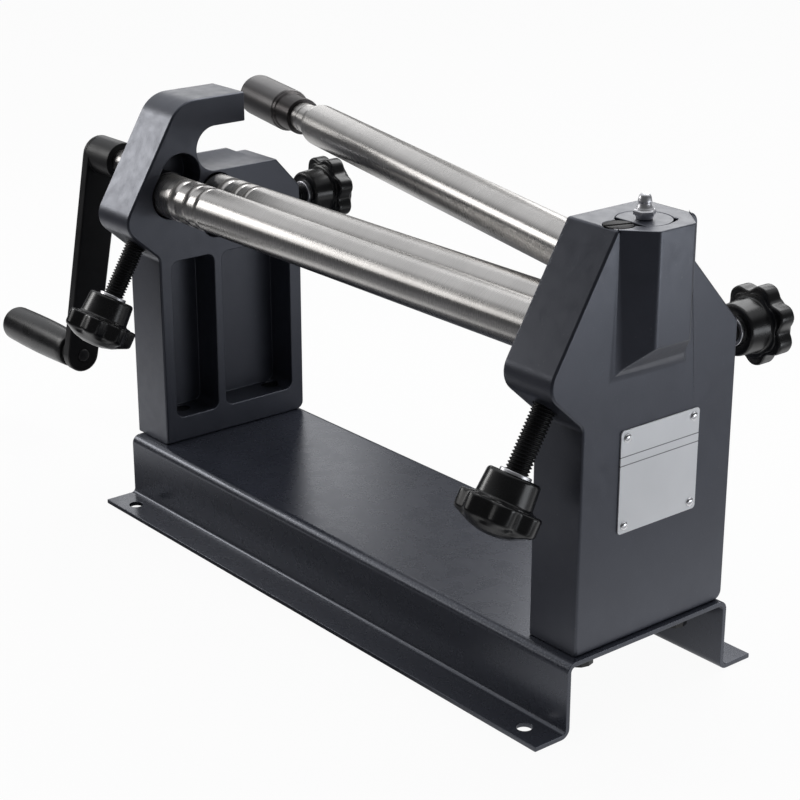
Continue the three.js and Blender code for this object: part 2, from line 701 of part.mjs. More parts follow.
// Swivel, in the same frame as the top roll with z measured as in the machine
function swivelBlock() {
  let block = rod(SWIVEL_RADIUS, SWIVEL_FLOOR + SLIDE_GAP, STANDARD_TOP - SEAT_GAP);
  const mouth = -SWIVEL_RADIUS - CUT_OVERRUN;
  const bore = rodAlongX(TOP_JOURNAL + RUNNING_GAP, mouth, TOP_JOURNAL_END + SLIDE_GAP);
  block = block.subtract(bore.translate([0, 0, TOP_Z]));
  const reach = (PINCH_Y - STOP_Y) * Math.cos(SWING_OPEN) - STOP_RADIUS - SLIDE_GAP;
  const width = 2 * SWIVEL_RADIUS;
  const notchFloor = STANDARD_TOP - STOP_NOTCH_DEPTH;
  const notch = box(-width, width, -width, -reach, notchFloor, STANDARD_TOP + CUT_OVERRUN);
  block = block.subtract(notch.rotate([0, 0, SWING_OPEN * 180 / Math.PI]));
  const tapped = rod(NIPPLE_SHANK + RUNNING_GAP, TOP_Z, STANDARD_TOP + CUT_OVERRUN, ROUND_SMALL);
  return block.subtract(tapped);
}

function greaseNipple() {
  const seat = STANDARD_TOP;
  const foot = TOP_Z + TOP_JOURNAL - GREASE_GROOVE + SLIDE_GAP;
  const hexFoot = seat + NIPPLE_FOOT_HEIGHT;
  const hexTop = seat + NIPPLE_HEX_TOP;
  const top = seat + NIPPLE_HEIGHT;
  const widest = top - NIPPLE_HEAD_RISE;
  const head = [];
  for (let i = 0; i < ARC_STEPS; i += 1) {
    const share = i / ARC_STEPS;
    const radius = NIPPLE_TOP + (NIPPLE_HEAD - NIPPLE_TOP) * Math.cos(Math.PI / 2 * share);
    head.push([radius, widest + NIPPLE_HEAD_RISE * Math.sin(Math.PI / 2 * share)]);
  }
  const flats = NIPPLE_HEX * Math.cos(Math.PI / 6);
  const body = turned([
    [0, foot],
    [NIPPLE_SHANK, foot],
    [NIPPLE_SHANK, seat],
    [NIPPLE_FOOT, seat],
    [flats, hexFoot],
    [NIPPLE_NECK, hexFoot],
    [NIPPLE_NECK, hexTop],
    ...head,
    [NIPPLE_TOP, top],
    [0, top],
  ], ROUND_TINY);
  return body.add(hexagon(NIPPLE_HEX, hexFoot, hexTop));
}

function stopScrew() {
  const under = STANDARD_TOP - STOP_HEAD;
  const head = rod(STOP_RADIUS, under, STANDARD_TOP);
  const screw = head.add(rod(STOP_SHANK_RADIUS, under - STOP_SHANK, STANDARD_TOP, ROUND_TINY));
  const wide = STOP_RADIUS + CUT_OVERRUN;
  const half = STOP_SLOT / 2;
  const slot = box(-wide, wide, -half, half, STANDARD_TOP - STOP_SLOT, STANDARD_TOP + CUT_OVERRUN);
  return screw.subtract(slot).translate([SWIVEL_X, STOP_Y, 0]);
}

// Bearing blocks
function frontBlock(side) {
  const start = FRONT_ROLL_ENTRY + BLOCK_END_GAP;
  const disc = new THREE.Shape();
  disc.absarc(0, 0, FRONT_BLOCK_RADIUS, 0, 2 * Math.PI, false);
  const end = into(side, FRONT_POCKET_DEPTH - BLOCK_END_GAP);
  const body = slab(disc, into(side, start), end, 0, ROUND / 2);
  const reach = THICK + CUT_OVERRUN;
  const bore = rodAlongX(FRONT_JOURNAL + RUNNING_GAP, -reach, GAP + reach);
  return body.subtract(bore)
    .trimByPlane([0, 0, 1], -FRONT_BLOCK_FLAT)
    .rotate([-FACE_TILT * 180 / Math.PI, 0, 0])
    .translate([0, FRONT_Y, FRONT_Z]);
}

function rearBlock(side) {
  const low = new THREE.Vector2(PINCH_Y, REAR_Z - REAR_BLOCK_DROP);
  const high = new THREE.Vector2(PINCH_Y, REAR_Z);
  const shape = stadium(low, high, REAR_BLOCK_RADIUS);
  const end = into(side, REAR_POCKET_DEPTH - BLOCK_END_GAP);
  const body = slab(shape, into(side, BLOCK_END_GAP), end, 0, 2 * ARC_STEPS);
  const reach = THICK + CUT_OVERRUN;
  const bore = rodAlongX(REAR_JOURNAL + RUNNING_GAP, -reach, GAP + reach)
    .translate([0, PINCH_Y, REAR_Z]);
  return body.subtract(bore).trimByPlane(rampNormal(), rampOffset() + SLIDE_GAP);
}

function rampNormal() {
  return [0, -Math.sin(WEDGE_ANGLE), Math.cos(WEDGE_ANGLE)];
}

function rampOffset() {
  return WEDGE_CONTACT_Z * Math.cos(WEDGE_ANGLE) - WEDGE_CONTACT_Y * Math.sin(WEDGE_ANGLE);
}

function wedgePin(side) {
  const normal = rampNormal().map((value) => -value);
  return rod(STUD_RADIUS, WEDGE_NOSE, REAR_STUD_TIP - SLIDE_GAP, ROUND_SMALL)
    .rotate([-90, 0, 0])
    .translate([into(side, STUD_INSET), 0, REAR_STUD_Z])
    .trimByPlane(normal, -rampOffset());
}

// Screw assemblies: local +z runs from the knob to the tip
function stud(tip, hubFace) {
  return turned([
    [0, -hubFace - STUD_GRIP],
    [STUD_RADIUS, -hubFace - STUD_GRIP],
    [STUD_RADIUS, -tip - STUD_CHAMFER],
    [STUD_RADIUS - STUD_CHAMFER, -tip],
    [0, -tip],
  ], ROUND_SMALL);
}

function starShape() {
  const shape = new THREE.Shape();
  const count = KNOB_LOBES * LOBE_STEPS;
  for (let i = 0; i < count; i += 1) {
    const angle = 2 * Math.PI * i / count;
    const valley = Math.pow((1 - Math.cos(KNOB_LOBES * angle)) / 2, KNOB_LOBE_POWER);
    const radius = KNOB_RADIUS - KNOB_LOBE_DEPTH * valley;
    if (i === 0) {
      shape.moveTo(radius, 0);
    } else {
      shape.lineTo(radius * Math.cos(angle), radius * Math.sin(angle));
    }
  }
  shape.closePath();
  return shape;
}

function starKnob(hubFace) {
  const discTop = -hubFace - HUB_HEIGHT;
  const discFoot = discTop - KNOB_DISC;
  const star = new THREE.ExtrudeGeometry(starShape(), {
    depth: KNOB_DISC - 2 * KNOB_EDGE,
    bevelEnabled: true,
    bevelThickness: KNOB_EDGE,
    bevelSize: KNOB_EDGE,
    bevelOffset: -KNOB_EDGE,
    bevelSegments: 1,
  });
  star.translate(0, 0, discFoot + KNOB_EDGE);
  const rim = KNOB_RADIUS - KNOB_LOBE_DEPTH - KNOB_EDGE;
  const dome = [0, 0.5, 1].map((share) => [rim * share, discFoot - KNOB_DOME * (1 - share * share)]);
  const core = turned([
    ...dome,
    [rim, discTop - KNOB_EDGE],
    [HUB_FOOT_RADIUS, discTop],
    [HUB_RADIUS, -hubFace - HUB_EDGE],
    [HUB_RADIUS - HUB_EDGE, -hubFace],
    [0, -hubFace],
  ]);
  const socketFloor = -hubFace + INSERT_PROUD - INSERT_LENGTH - SLIDE_GAP;
  const socketRadius = INSERT_RADIUS + RUNNING_GAP;
  const socket = rod(socketRadius, socketFloor, -hubFace + CUT_OVERRUN, ROUND_SMALL);
  return toSolid(star).add(core).subtract(socket);
}

function knobInsert(hubFace) {
  const top = -hubFace + INSERT_PROUD;
  const bush = rod(INSERT_RADIUS, top - INSERT_LENGTH, top, ROUND_SMALL);
  const boreFloor = -hubFace - STUD_GRIP - SEAT_GAP;
  const bore = rod(STUD_RADIUS + RUNNING_GAP, boreFloor, top + CUT_OVERRUN, ROUND_SMALL);
  return bush.subtract(bore);
}

function addScrew(parent, name, place, tilt, turn, tip, hubFace) {
  const group = new THREE.Group();
  group.position.copy(place);
  group.rotation.x = tilt;
  addPart(group, `${name}_stud`, stud(tip, hubFace), blackOxide());
  addPart(group, `${name}_knob`, starKnob(hubFace).rotate([0, 0, turn]), plastic());
  addPart(group, `${name}_knob_insert`, knobInsert(hubFace), zinc());
  parent.add(group);
}

// Crank
function crankEnd() {
  const y = PINCH_Y - CRANK_RADIUS * Math.sin(CRANK_LEAN);
  const z = REAR_Z - CRANK_RADIUS * Math.cos(CRANK_LEAN);
  return new THREE.Vector2(y, z);
}

function crankArm() {
  const hub = new THREE.Vector2(PINCH_Y, REAR_Z);
  const end = crankEnd();
  const shape = stadium(hub, end, CRANK_HUB_RADIUS, ARM_END_RADIUS);
  const innerArm = -CRANK_OUTER + ARM_THICK;
  let arm = slab(shape, -CRANK_OUTER, innerArm, EDGE_ROUND, 2 * ARC_STEPS);
  const boss = rodAlongX(CRANK_HUB_RADIUS, innerArm - ARM_THICK / 2, -CRANK_INNER);
  arm = arm.add(boss.translate([0, PINCH_Y, REAR_Z]));
  const outside = -CRANK_OUTER - CUT_OVERRUN;
  const bore = rodAlongX(REAR_JOURNAL + RUNNING_GAP, outside, -CRANK_INNER + CUT_OVERRUN);
  arm = arm.subtract(bore.translate([0, PINCH_Y, REAR_Z]));
  const pinHole = rodAlongX(PIN_RADIUS + RUNNING_GAP, outside, innerArm + CUT_OVERRUN, ROUND_SMALL);
  arm = arm.subtract(pinHole.translate([0, end.x, end.y]));
  const screwRadius = SET_SCREW_RADIUS + RUNNING_GAP;
  const screwHole = rod(screwRadius, 0, CRANK_HUB_RADIUS + CUT_OVERRUN, ROUND_TINY)
    .rotate([-90, 0, 0]);
  return arm.subtract(screwHole.translate([setScrewX(), PINCH_Y, REAR_Z]));
}

function setScrewX() {
  return -(CRANK_INNER + CRANK_OUTER - ARM_THICK) / 2;
}

function crankSetScrew() {
  const tip = REAR_JOURNAL + RUNNING_GAP;
  return rod(SET_SCREW_RADIUS, tip, tip + SET_SCREW_LENGTH, ROUND_TINY)
    .rotate([-90, 0, 0])
    .translate([setScrewX(), PINCH_Y, REAR_Z]);
}

function crankPin() {
  const end = crankEnd();
  const shoulder = -CRANK_OUTER - SEAT_GAP;
  const gripStart = shoulder - PIN_SHOULDER - SLIDE_GAP;
  const headSeat = gripStart - GRIP_LENGTH + GRIP_SINK - SLIDE_GAP;
  const proud = -CRANK_OUTER + ARM_THICK + PIN_PROUD;
  return turnedAlongX([
    [0, headSeat - PIN_HEAD],
    [PIN_HEAD_RADIUS - PIN_HEAD_CHAMFER, headSeat - PIN_HEAD],
    [PIN_HEAD_RADIUS, headSeat - PIN_HEAD + PIN_HEAD_CHAMFER],
    [PIN_HEAD_RADIUS, headSeat],
    [PIN_RADIUS, headSeat],
    [PIN_RADIUS, shoulder - PIN_SHOULDER],
    [PIN_SHOULDER_RADIUS, shoulder - PIN_SHOULDER],
    [PIN_SHOULDER_RADIUS, shoulder],
    [PIN_RADIUS, shoulder],
    [PIN_RADIUS, proud],
    [0, proud],
  ], ROUND_SMALL).translate([0, end.x, end.y]);
}

function crankGrip() {
  const end = crankEnd();
  const start = -CRANK_OUTER - SEAT_GAP - PIN_SHOULDER - SLIDE_GAP;
  const finish = start - GRIP_LENGTH;
  const bore = PIN_RADIUS + RUNNING_GAP;
  const pocket = PIN_HEAD_RADIUS + SLIDE_GAP;
  const swell = GRIP_RADIUS - (GRIP_END_RADIUS + GRIP_START_RADIUS) / 2;
  const crown = [];
  for (let i = 0; i < ARC_STEPS; i += 1) {
    const angle = Math.PI / 2 * i / ARC_STEPS;
    const inset = GRIP_ROUND * (1 - Math.sin(angle));
    crown.push([GRIP_END_RADIUS - inset, finish + GRIP_ROUND * (1 - Math.cos(angle))]);
  }
  const barrel = [];
  for (let i = 0; i <= FLARE_STEPS; i += 1) {
    const along = i / FLARE_STEPS;
    const x = finish + GRIP_ROUND + (GRIP_LENGTH - GRIP_ROUND - GRIP_START_ROUND) * along;
    const chord = GRIP_END_RADIUS + (GRIP_START_RADIUS - GRIP_END_RADIUS) * along;
    barrel.push([chord + swell * Math.sin(Math.PI * along), x]);
  }
  const profile = [
    [pocket, finish],
    ...crown,
    ...barrel,
    [GRIP_START_RADIUS - GRIP_START_ROUND, start],
    [bore, start],
    [bore, finish + GRIP_SINK],
    [pocket, finish + GRIP_SINK],
    [pocket, finish],
  ];
  return turnedAlongX(profile).translate([0, end.x, end.y]);
}

// Fasteners
function mountingBolt(side, y) {
  const seat = BASE_HEIGHT - SHEET - WASHER_THICK - 2 * SEAT_GAP;
  const foot = seat - BOLT_HEAD;
  const shank = rod(BOLT_RADIUS, seat, RECESS_FLOOR - BOLT_END_DROP, ROUND_TINY);
  const socket = hexagon(BOLT_SOCKET_RADIUS, foot - CUT_OVERRUN, foot + BOLT_SOCKET_DEPTH);
  return rod(BOLT_HEAD_RADIUS, foot, seat, ROUND_TINY)
    .add(shank)
    .subtract(socket)
    .translate([into(side, BOLT_INSET), y, 0]);
}

function mountingWasher(side, y) {
  const top = BASE_HEIGHT - SHEET - SEAT_GAP;
  const foot = top - WASHER_THICK;
  return rod(WASHER_RADIUS, foot, top, ROUND_TINY)
    .subtract(rod(BOLT_HOLE, foot - CUT_OVERRUN, top + CUT_OVERRUN, ROUND_TINY))
    .translate([into(side, BOLT_INSET), y, 0]);
}

function rivetPlaces() {
  const low = PLATE_FRONT + RIVET_INSET;
  const high = PLATE_FRONT + PLATE_WIDTH - RIVET_INSET;
  const foot = PLATE_FOOT + RIVET_INSET;
  const head = PLATE_FOOT + PLATE_HEIGHT - RIVET_INSET;
  return [[low, foot], [high, foot], [high, head], [low, head]];
}

function nameplate() {
  const face = GAP + THICK + SEAT_GAP;
  const back = PLATE_FRONT + PLATE_WIDTH;
  const top = PLATE_FOOT + PLATE_HEIGHT;
  let plate = slab(outline([
    [PLATE_FRONT, PLATE_FOOT, PLATE_CORNER],
    [back, PLATE_FOOT, PLATE_CORNER],
    [back, top, PLATE_CORNER],
    [PLATE_FRONT, top, PLATE_CORNER],
  ]), face, face + PLATE_THICK);
  const front = face + PLATE_THICK + CUT_OVERRUN;
  for (const [y, z] of rivetPlaces()) {
    const hole = rodAlongX(RIVET_RADIUS + RUNNING_GAP, face - CUT_OVERRUN, front, ROUND_TINY);
    plate = plate.subtract(hole.translate([0, y, z]));
  }
  return plate;
}

function rivet(y, z) {
  const seat = GAP + THICK + 2 * SEAT_GAP + PLATE_THICK;
  const dome = [];
  for (let i = 0; i < ARC_STEPS; i += 1) {
    const angle = Math.PI / 2 * i / ARC_STEPS;
    dome.push([RIVET_HEAD_RADIUS * Math.cos(angle), seat + RIVET_HEAD * Math.sin(angle)]);
  }
  return turnedAlongX([
    [0, seat - RIVET_LENGTH],
    [RIVET_RADIUS, seat - RIVET_LENGTH],
    [RIVET_RADIUS, seat],
    ...dome,
    [0, seat + RIVET_HEAD],
  ], ROUND_TINY).translate([0, y, z]);
}

// Assembly
const machine = new THREE.Group();
addPart(machine, 'base_channel', baseChannel(), paint());
addPart(machine, 'left_standard', leftStandard(), paint());
addPart(machine, 'right_standard', rightStandard(), paint());
addPart(machine, 'front_roll', frontRoll(), steel());
addPart(machine, 'rear_roll', rearRoll(), steel());
addPart(machine, 'swivel_stop_screw', stopScrew(), blackOxide());

const swing = new THREE.Group();
swing.position.set(SWIVEL_X, PINCH_Y, 0);
swing.rotation.z = -SWING_OPEN;
addPart(swing, 'top_roll', topRoll().translate([0, 0, TOP_Z]), steel());
addPart(swing, 'top_roll_sleeve', topRollSleeve().translate([0, 0, TOP_Z]), darkSteel());
addPart(swing, 'swivel_block', swivelBlock(), paint());
addPart(swing, 'grease_nipple', greaseNipple(), zinc());
machine.add(swing);

for (const { side, word, rearHub, frontTurn, rearTurn } of SIDES) {
  const x = into(side, STUD_INSET);
  const frontTip = FRONT_BLOCK_FLAT + SLIDE_GAP;
  addPart(machine, `front_${word}_block`, frontBlock(side), castBlock());
  addPart(machine, `rear_${word}_block`, rearBlock(side), castBlock());
  addPart(machine, `rear_${word}_wedge_pin`, wedgePin(side), castBlock());
  const frontPlace = new THREE.Vector3(x, FRONT_Y, FRONT_Z);
  addScrew(machine, `front_${word}`, frontPlace, -FACE_TILT, frontTurn, frontTip, FRONT_HUB_FACE);
  const rearPlace = new THREE.Vector3(x, 0, REAR_STUD_Z);
  addScrew(machine, `rear_${word}`, rearPlace, Math.PI / 2, rearTurn, REAR_STUD_TIP, rearHub);
  [BOLT_FRONT, BOLT_BACK].forEach((y, i) => {
    const place = `${word}_${i === 0 ? 'front' : 'back'}`;
    addPart(machine, `base_bolt_${place}`, mountingBolt(side, y), blackOxide());
    addPart(machine, `base_washer_${place}`, mountingWasher(side, y), blackOxide());
  });
}

addPart(machine, 'crank_arm', crankArm(), blackPaint());
addPart(machine, 'crank_set_screw', crankSetScrew(), blackOxide());
addPart(machine, 'crank_pin', crankPin(), blackOxide());
addPart(machine, 'crank_grip', crankGrip(), plastic());
addPart(machine, 'nameplate', nameplate(), aluminium());
rivetPlaces().forEach(([y, z], i) => {
  addPart(machine, `nameplate_rivet_${i + 1}`, rivet(y, z), aluminium());
});

machine.updateMatrixWorld(true);
const bounds = new THREE.Box3().setFromObject(machine, true);
machine.position.x = -(bounds.min.x + bounds.max.x) / 2;
machine.position.y = -(bounds.min.y + bounds.max.y) / 2;
machine.position.z = -bounds.min.z;

const group = new THREE.Group();
group.add(machine);

export default group;
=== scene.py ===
# %% [markdown]
# # A slip roll machine, dressed for its photograph
#
# A slip roll bends sheet metal into tubes and cones. Two cast standards stand on a folded sheet base
# and carry three steel rolls. The top roll can be swung out of its hook, so that a closed tube slips
# off. This file takes the bare solids of that machine and gives them what the eye expects: rounded
# casting edges, threads, moulded knobs, turned steel, paint, light and a camera.

# %% Load the machine
import math

import bmesh
import bpy
from mathutils import Matrix, Vector


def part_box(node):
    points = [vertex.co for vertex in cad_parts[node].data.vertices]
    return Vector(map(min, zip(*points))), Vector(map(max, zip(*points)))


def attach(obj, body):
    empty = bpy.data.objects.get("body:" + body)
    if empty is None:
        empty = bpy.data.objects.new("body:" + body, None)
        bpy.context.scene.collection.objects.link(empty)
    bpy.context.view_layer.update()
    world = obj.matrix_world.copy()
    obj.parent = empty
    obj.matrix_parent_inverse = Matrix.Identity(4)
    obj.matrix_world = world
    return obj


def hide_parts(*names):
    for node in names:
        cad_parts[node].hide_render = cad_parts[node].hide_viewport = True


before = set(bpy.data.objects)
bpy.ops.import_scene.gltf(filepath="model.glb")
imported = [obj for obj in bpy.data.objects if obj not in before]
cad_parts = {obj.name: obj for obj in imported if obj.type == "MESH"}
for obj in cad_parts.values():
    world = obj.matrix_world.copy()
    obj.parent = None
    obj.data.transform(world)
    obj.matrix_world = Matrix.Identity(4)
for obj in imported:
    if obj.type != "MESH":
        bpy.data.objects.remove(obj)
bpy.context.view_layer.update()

# %% [markdown]
# ## Measures
#
# Blender works in metres, and a workshop drawing in millimetres. The drawing starts at the inner face
# of the hook standard, at the underside of the base. `place` turns a drawing point into a Blender
# point, and reads where the drawing starts from two solids, so nothing has to be fitted by eye. A few
# measures drive the rest: the gap between the standards, their thickness and their top, the axes of
# the rolls and of the swivel, and where the adjusting screws stand.

# %% Drawing measures in millimetres
MM = 0.001
WEB_FRONT, FLANGE = -36.5, 20.0
GAP, THICK, CASTING_TOP = 320.0, 33.0, 247.0
FRONT_Y, FRONT_Z = -18.3, 192.6
PINCH_Y, REAR_Z, TOP_ROLL_Z = 13.0, 188.4, 216.4
FACE_TILT = math.radians(31)
SWING = math.radians(13.3)
SWIVEL_X = GAP + 25.5
STUD_INSET, REAR_STUD_Z = 14.5, 174.0
ORIGIN = Vector((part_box("left_standard")[1].x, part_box("base_channel")[0].y - (WEB_FRONT - FLANGE) * MM, 0))


def place(x, y, z):
    return ORIGIN + Vector((x, y, z)) * MM


print("drawing starts at", [round(v, 4) for v in ORIGIN])

# %% [markdown]
# ## The camera
#
# The machine was photographed with a long lens from the right and slightly above. A long lens keeps
# parallel edges nearly parallel. The camera comes first, because every later choice of detail depends
# on how large a millimetre is in the picture: here about two pixels.

# %% Camera
AZIMUTH, ELEVATION = math.radians(50.69), math.radians(20.47)
CAMERA_AT = (957.7, -631.9, 488.1)
lens = bpy.data.cameras.new("camera")
lens.lens, lens.sensor_width = 90.1, 36.0
lens.clip_start, lens.clip_end = 0.05, 60.0
camera = bpy.data.objects.new("camera", lens)
bpy.context.scene.collection.objects.link(camera)
backwards = Vector((
    math.sin(AZIMUTH) * math.cos(ELEVATION),
    -math.cos(AZIMUTH) * math.cos(ELEVATION),
    math.sin(ELEVATION),
))
camera.location = place(*CAMERA_AT)
camera.rotation_mode = "QUATERNION"
camera.rotation_quaternion = (-backwards).to_track_quat("-Z", "Y")
bpy.context.scene.camera = camera
bpy.context.scene.view_settings.view_transform = "Standard"
print("camera stands at", [round(v, 3) for v in camera.location])

# %% [markdown]
# ## Finishes: a shader and its nodes
#
# Every finish starts as one Principled shader. Its even values are set on the shader itself, and nodes
# only carry what changes over the surface. A node takes several lines to add, to set and to link, so
# small helpers do it: one fills an input, one adds a node, one feeds the shader, and two do arithmetic
# on what runs along the links.

# %% Helpers for nodes
def new_finish(name, colour, roughness, metallic=0.0, specular=0.5):
    finish = bpy.data.materials.new(name)
    finish.use_nodes = True
    shader = finish.node_tree.nodes["Principled BSDF"]
    shader.inputs["Base Color"].default_value = (*colour, 1)
    shader.inputs["Roughness"].default_value = roughness
    shader.inputs["Metallic"].default_value = metallic
    shader.inputs["Specular IOR Level"].default_value = specular
    print(f"finish {name}: roughness {roughness}, metallic {metallic}")
    return finish, finish.node_tree, shader


def fill(tree, socket, value):
    """Links a socket to an input, or sets the input to a plain value."""
    if isinstance(value, bpy.types.NodeSocket):
        tree.links.new(value, socket)
    else:
        socket.default_value = value


def add_node(tree, kind, settings=None, **inputs):
    node = tree.nodes.new(kind)
    for key, value in (settings or {}).items():
        setattr(node, key, value)
    for key, value in inputs.items():
        fill(tree, node.inputs[key.replace("_", " ")], value)
    return node


def feed(tree, shader, **inputs):
    for key, value in inputs.items():
        tree.links.new(value, shader.inputs[key.replace("_", " ")])


def maths(tree, operation, first, second=0.0):
    """One step of arithmetic on plain values or sockets."""
    node = add_node(tree, "ShaderNodeMath", {"operation": operation})
    fill(tree, node.inputs[0], first)
    fill(tree, node.inputs[1], second)
    return node.outputs[0]


def product(tree, first, *others):
    """All these values or sockets multiplied."""
    for other in others:
        first = maths(tree, "MULTIPLY", first, other)
    return first


# %% [markdown]
# ## Finishes: patterns
#
# No real surface is even. Patterns come from two sources here. One is grain, which is noise with spots
# of a real size in millimetres. The other is where a point lies in the drawing, which finds a worn
# edge or a ruled line without painting it by hand. Either is then spread over a range, turned into
# colours, or pressed in as small dents.

# %% Helpers for patterns
def grain(tree, size_mm, detail=3.0, stretch=(1, 1, 1), turn=(0, 0, 0), rough=0.5):
    """Noise whose spots are about size_mm wide, stretched along the axes where stretch is above 1."""
    source = add_node(tree, "ShaderNodeTexCoord").outputs["Object"]
    askew = add_node(tree, "ShaderNodeMapping", {"vector_type": "POINT"}, Vector=source, Rotation=turn)
    shrunk = add_node(tree, "ShaderNodeVectorMath", {"operation": "MULTIPLY"}, Vector=askew.outputs[0])
    shrunk.inputs[1].default_value = [1 / s for s in stretch]
    return add_node(
        tree, "ShaderNodeTexNoise", Vector=shrunk.outputs[0], Scale=1 / (size_mm * MM),
        Detail=detail, Roughness=rough,
    ).outputs["Fac"]


def drawn(tree, axis):
    """Where a surface point lies along x, y or z of the drawing, in metres."""
    source = add_node(tree, "ShaderNodeTexCoord").outputs["Object"]
    here = add_node(tree, "ShaderNodeSeparateXYZ", Vector=source).outputs[axis]
    return maths(tree, "SUBTRACT", here, ORIGIN["XYZ".index(axis)])


def off_by(tree, axis, mark_mm):
    """How far a surface point is from a mark on an axis of the drawing, in metres."""
    return maths(tree, "ABSOLUTE", maths(tree, "SUBTRACT", drawn(tree, axis), mark_mm * MM))


def spread(tree, value, low, high, start=0.3, end=0.7):
    """A value from low to high, as the input goes from start to end."""
    return add_node(
        tree, "ShaderNodeMapRange", {"clamp": True}, Value=value, From_Min=start, From_Max=end,
        To_Min=low, To_Max=high,
    ).outputs[0]


def shades(tree, value, *stops):
    """Colours along a 0 to 1 input: (position, (r, g, b)) pairs."""
    node = add_node(tree, "ShaderNodeValToRGB", Fac=value)
    ramp = node.color_ramp
    while len(ramp.elements) < len(stops):
        ramp.elements.new(0.5)
    for element, (position, colour) in zip(ramp.elements, stops):
        element.position, element.color = position, (*colour, 1)
    return node.outputs["Color"]


def blend_colours(tree, share, first, second):
    """The first colour where share is 0, and the second where it is 1."""
    node = add_node(tree, "ShaderNodeMix", {"data_type": "RGBA"})
    fill(tree, node.inputs[0], share)
    for socket, colour in ((node.inputs[6], first), (node.inputs[7], second)):
        fill(tree, socket, (*colour, 1) if isinstance(colour, tuple) else colour)
    return node.outputs[2]


def dents(tree, shader, *layers):
    """Small height changes: (grain, strength, depth in mm) layers, one on the other."""
    normal = None
    for height, strength, depth in layers:
        node = add_node(tree, "ShaderNodeBump", Height=height, Strength=strength, Distance=depth * MM)
        if normal is not None:
            tree.links.new(normal, node.inputs["Normal"])
        normal = node.outputs["Normal"]
    tree.links.new(normal, shader.inputs["Normal"])


# %% [markdown]
# ## Paint on the castings
#
# The standards are cast iron under a charcoal powder coat. The powder flows out into soft dimples about
# a millimetre wide, called orange peel, over the slow waves of the sand mould. The colour is a
# blue-grey that is a little uneven. Along the inner front edge of the swivel standard the coat is
# rubbed pale, and the shader finds that edge by its place in the drawing. A vertex attribute could say
# where as well, but on such large faces it would smear right across them.

# %% Casting paint
def new_paint(name, colour, roughness, gloss):
    """A powder coat: dark, with a strong and slightly blue shine."""
    finish, tree, shader = new_finish(name, colour, roughness)
    shader.inputs["IOR"].default_value = gloss
    shader.inputs["Specular Tint"].default_value = (0.84, 0.88, 1.0, 1)
    return finish, tree, shader


def casting_paint():
    finish, tree, shader = new_paint("casting_paint", (0.028, 0.031, 0.042), 0.35, 1.85)
    patch = grain(tree, 22, detail=4)
    body = shades(tree, patch, (0.3, (0.024, 0.026, 0.036)), (0.7, (0.032, 0.035, 0.048)))
    specks = spread(tree, grain(tree, 1.5, detail=2), 0.0, 0.3, start=0.69, end=0.75)
    coat = blend_colours(tree, specks, body, (0.12, 0.125, 0.14))
    at_edge = spread(tree, off_by(tree, "X", GAP + 0.7), 1.0, 0.0, start=0.0, end=2.2 * MM)
    in_front = spread(tree, drawn(tree, "Y"), 1.0, 0.0, start=-12 * MM, end=-8 * MM)
    high_up = spread(tree, drawn(tree, "Z"), 0.0, 1.0, start=150 * MM, end=158 * MM)
    patchy = spread(tree, grain(tree, 1.2, detail=4, rough=0.65), 0.0, 1.0, start=0.53, end=0.62)
    rubbed = product(tree, at_edge, in_front, high_up, patchy)
    colour = blend_colours(tree, rubbed, coat, (0.36, 0.37, 0.39))
    roughness = spread(tree, grain(tree, 6, detail=3), 0.31, 0.39)
    feed(tree, shader, Base_Color=colour, Roughness=roughness)
    dents(tree, shader, (grain(tree, 8, detail=3), 0.25, 0.07), (grain(tree, 1.2, detail=2), 0.6, 0.045))
    return finish


CASTING_PAINT = casting_paint()

# %% [markdown]
# ## Paint on the sheet base
#
# The same powder on rolled sheet lies smoother and shines more, so the base top mirrors the standards
# softly. Only the dimples are kept, because sheet has no mould waves. Fine pale sparks sit in it where
# powder grains stood up. The top of the front bend carries a painted highlight: a pale, patchy line
# painted into the colour.

# %% Sheet paint
def sheet_paint():
    finish, tree, shader = new_paint("sheet_paint", (0.031, 0.034, 0.047), 0.27, 1.8)
    patch = grain(tree, 40, detail=3)
    body = shades(tree, patch, (0.3, (0.026, 0.029, 0.040)), (0.7, (0.031, 0.034, 0.047)))
    spark = spread(tree, grain(tree, 0.9, detail=1), 0.0, 0.5, start=0.72, end=0.8)
    # Painted highlight: the mask of a pale line along the top of the front bend.
    highlight_at_bend = spread(tree, off_by(tree, "Y", WEB_FRONT + 1.2), 0.8, 0.0, start=0.0, end=2.6 * MM)
    high_up = spread(tree, drawn(tree, "Z"), 0.0, 1.0, start=35 * MM, end=38 * MM)
    patchy = spread(tree, grain(tree, 1.3, detail=4, rough=0.7), 0.0, 0.8, start=0.5, end=0.66)
    colour = blend_colours(tree, spark, body, (0.15, 0.155, 0.17))
    # The painted bend highlight, broken into patches, is laid into the colour here.
    colour = blend_colours(tree, product(tree, highlight_at_bend, high_up, patchy), colour, (0.30, 0.31, 0.33))
    roughness = spread(tree, grain(tree, 9, detail=3), 0.26, 0.29)
    feed(tree, shader, Base_Color=colour, Roughness=roughness)
    dents(tree, shader, (grain(tree, 1.1, detail=2), 0.35, 0.02))
    return finish


SHEET_PAINT = sheet_paint()

# %% [markdown]
# ## Turned steel
#
# A roll is turned and ground, so very fine marks run round it. They are too fine to be seen one by
# one, but they smear each reflection lengthwise into the long bands that tell the eye this is ground
# steel. The shader has a value for that smear, and a tangent says which way it goes. Faint rings,
# made from noise stretched across the axis, are laid over it. The top roll stands askew, so its
# marks are turned by the same angle. Zinc plate and cast bearing iron are made in the same way, but
# without the smear.

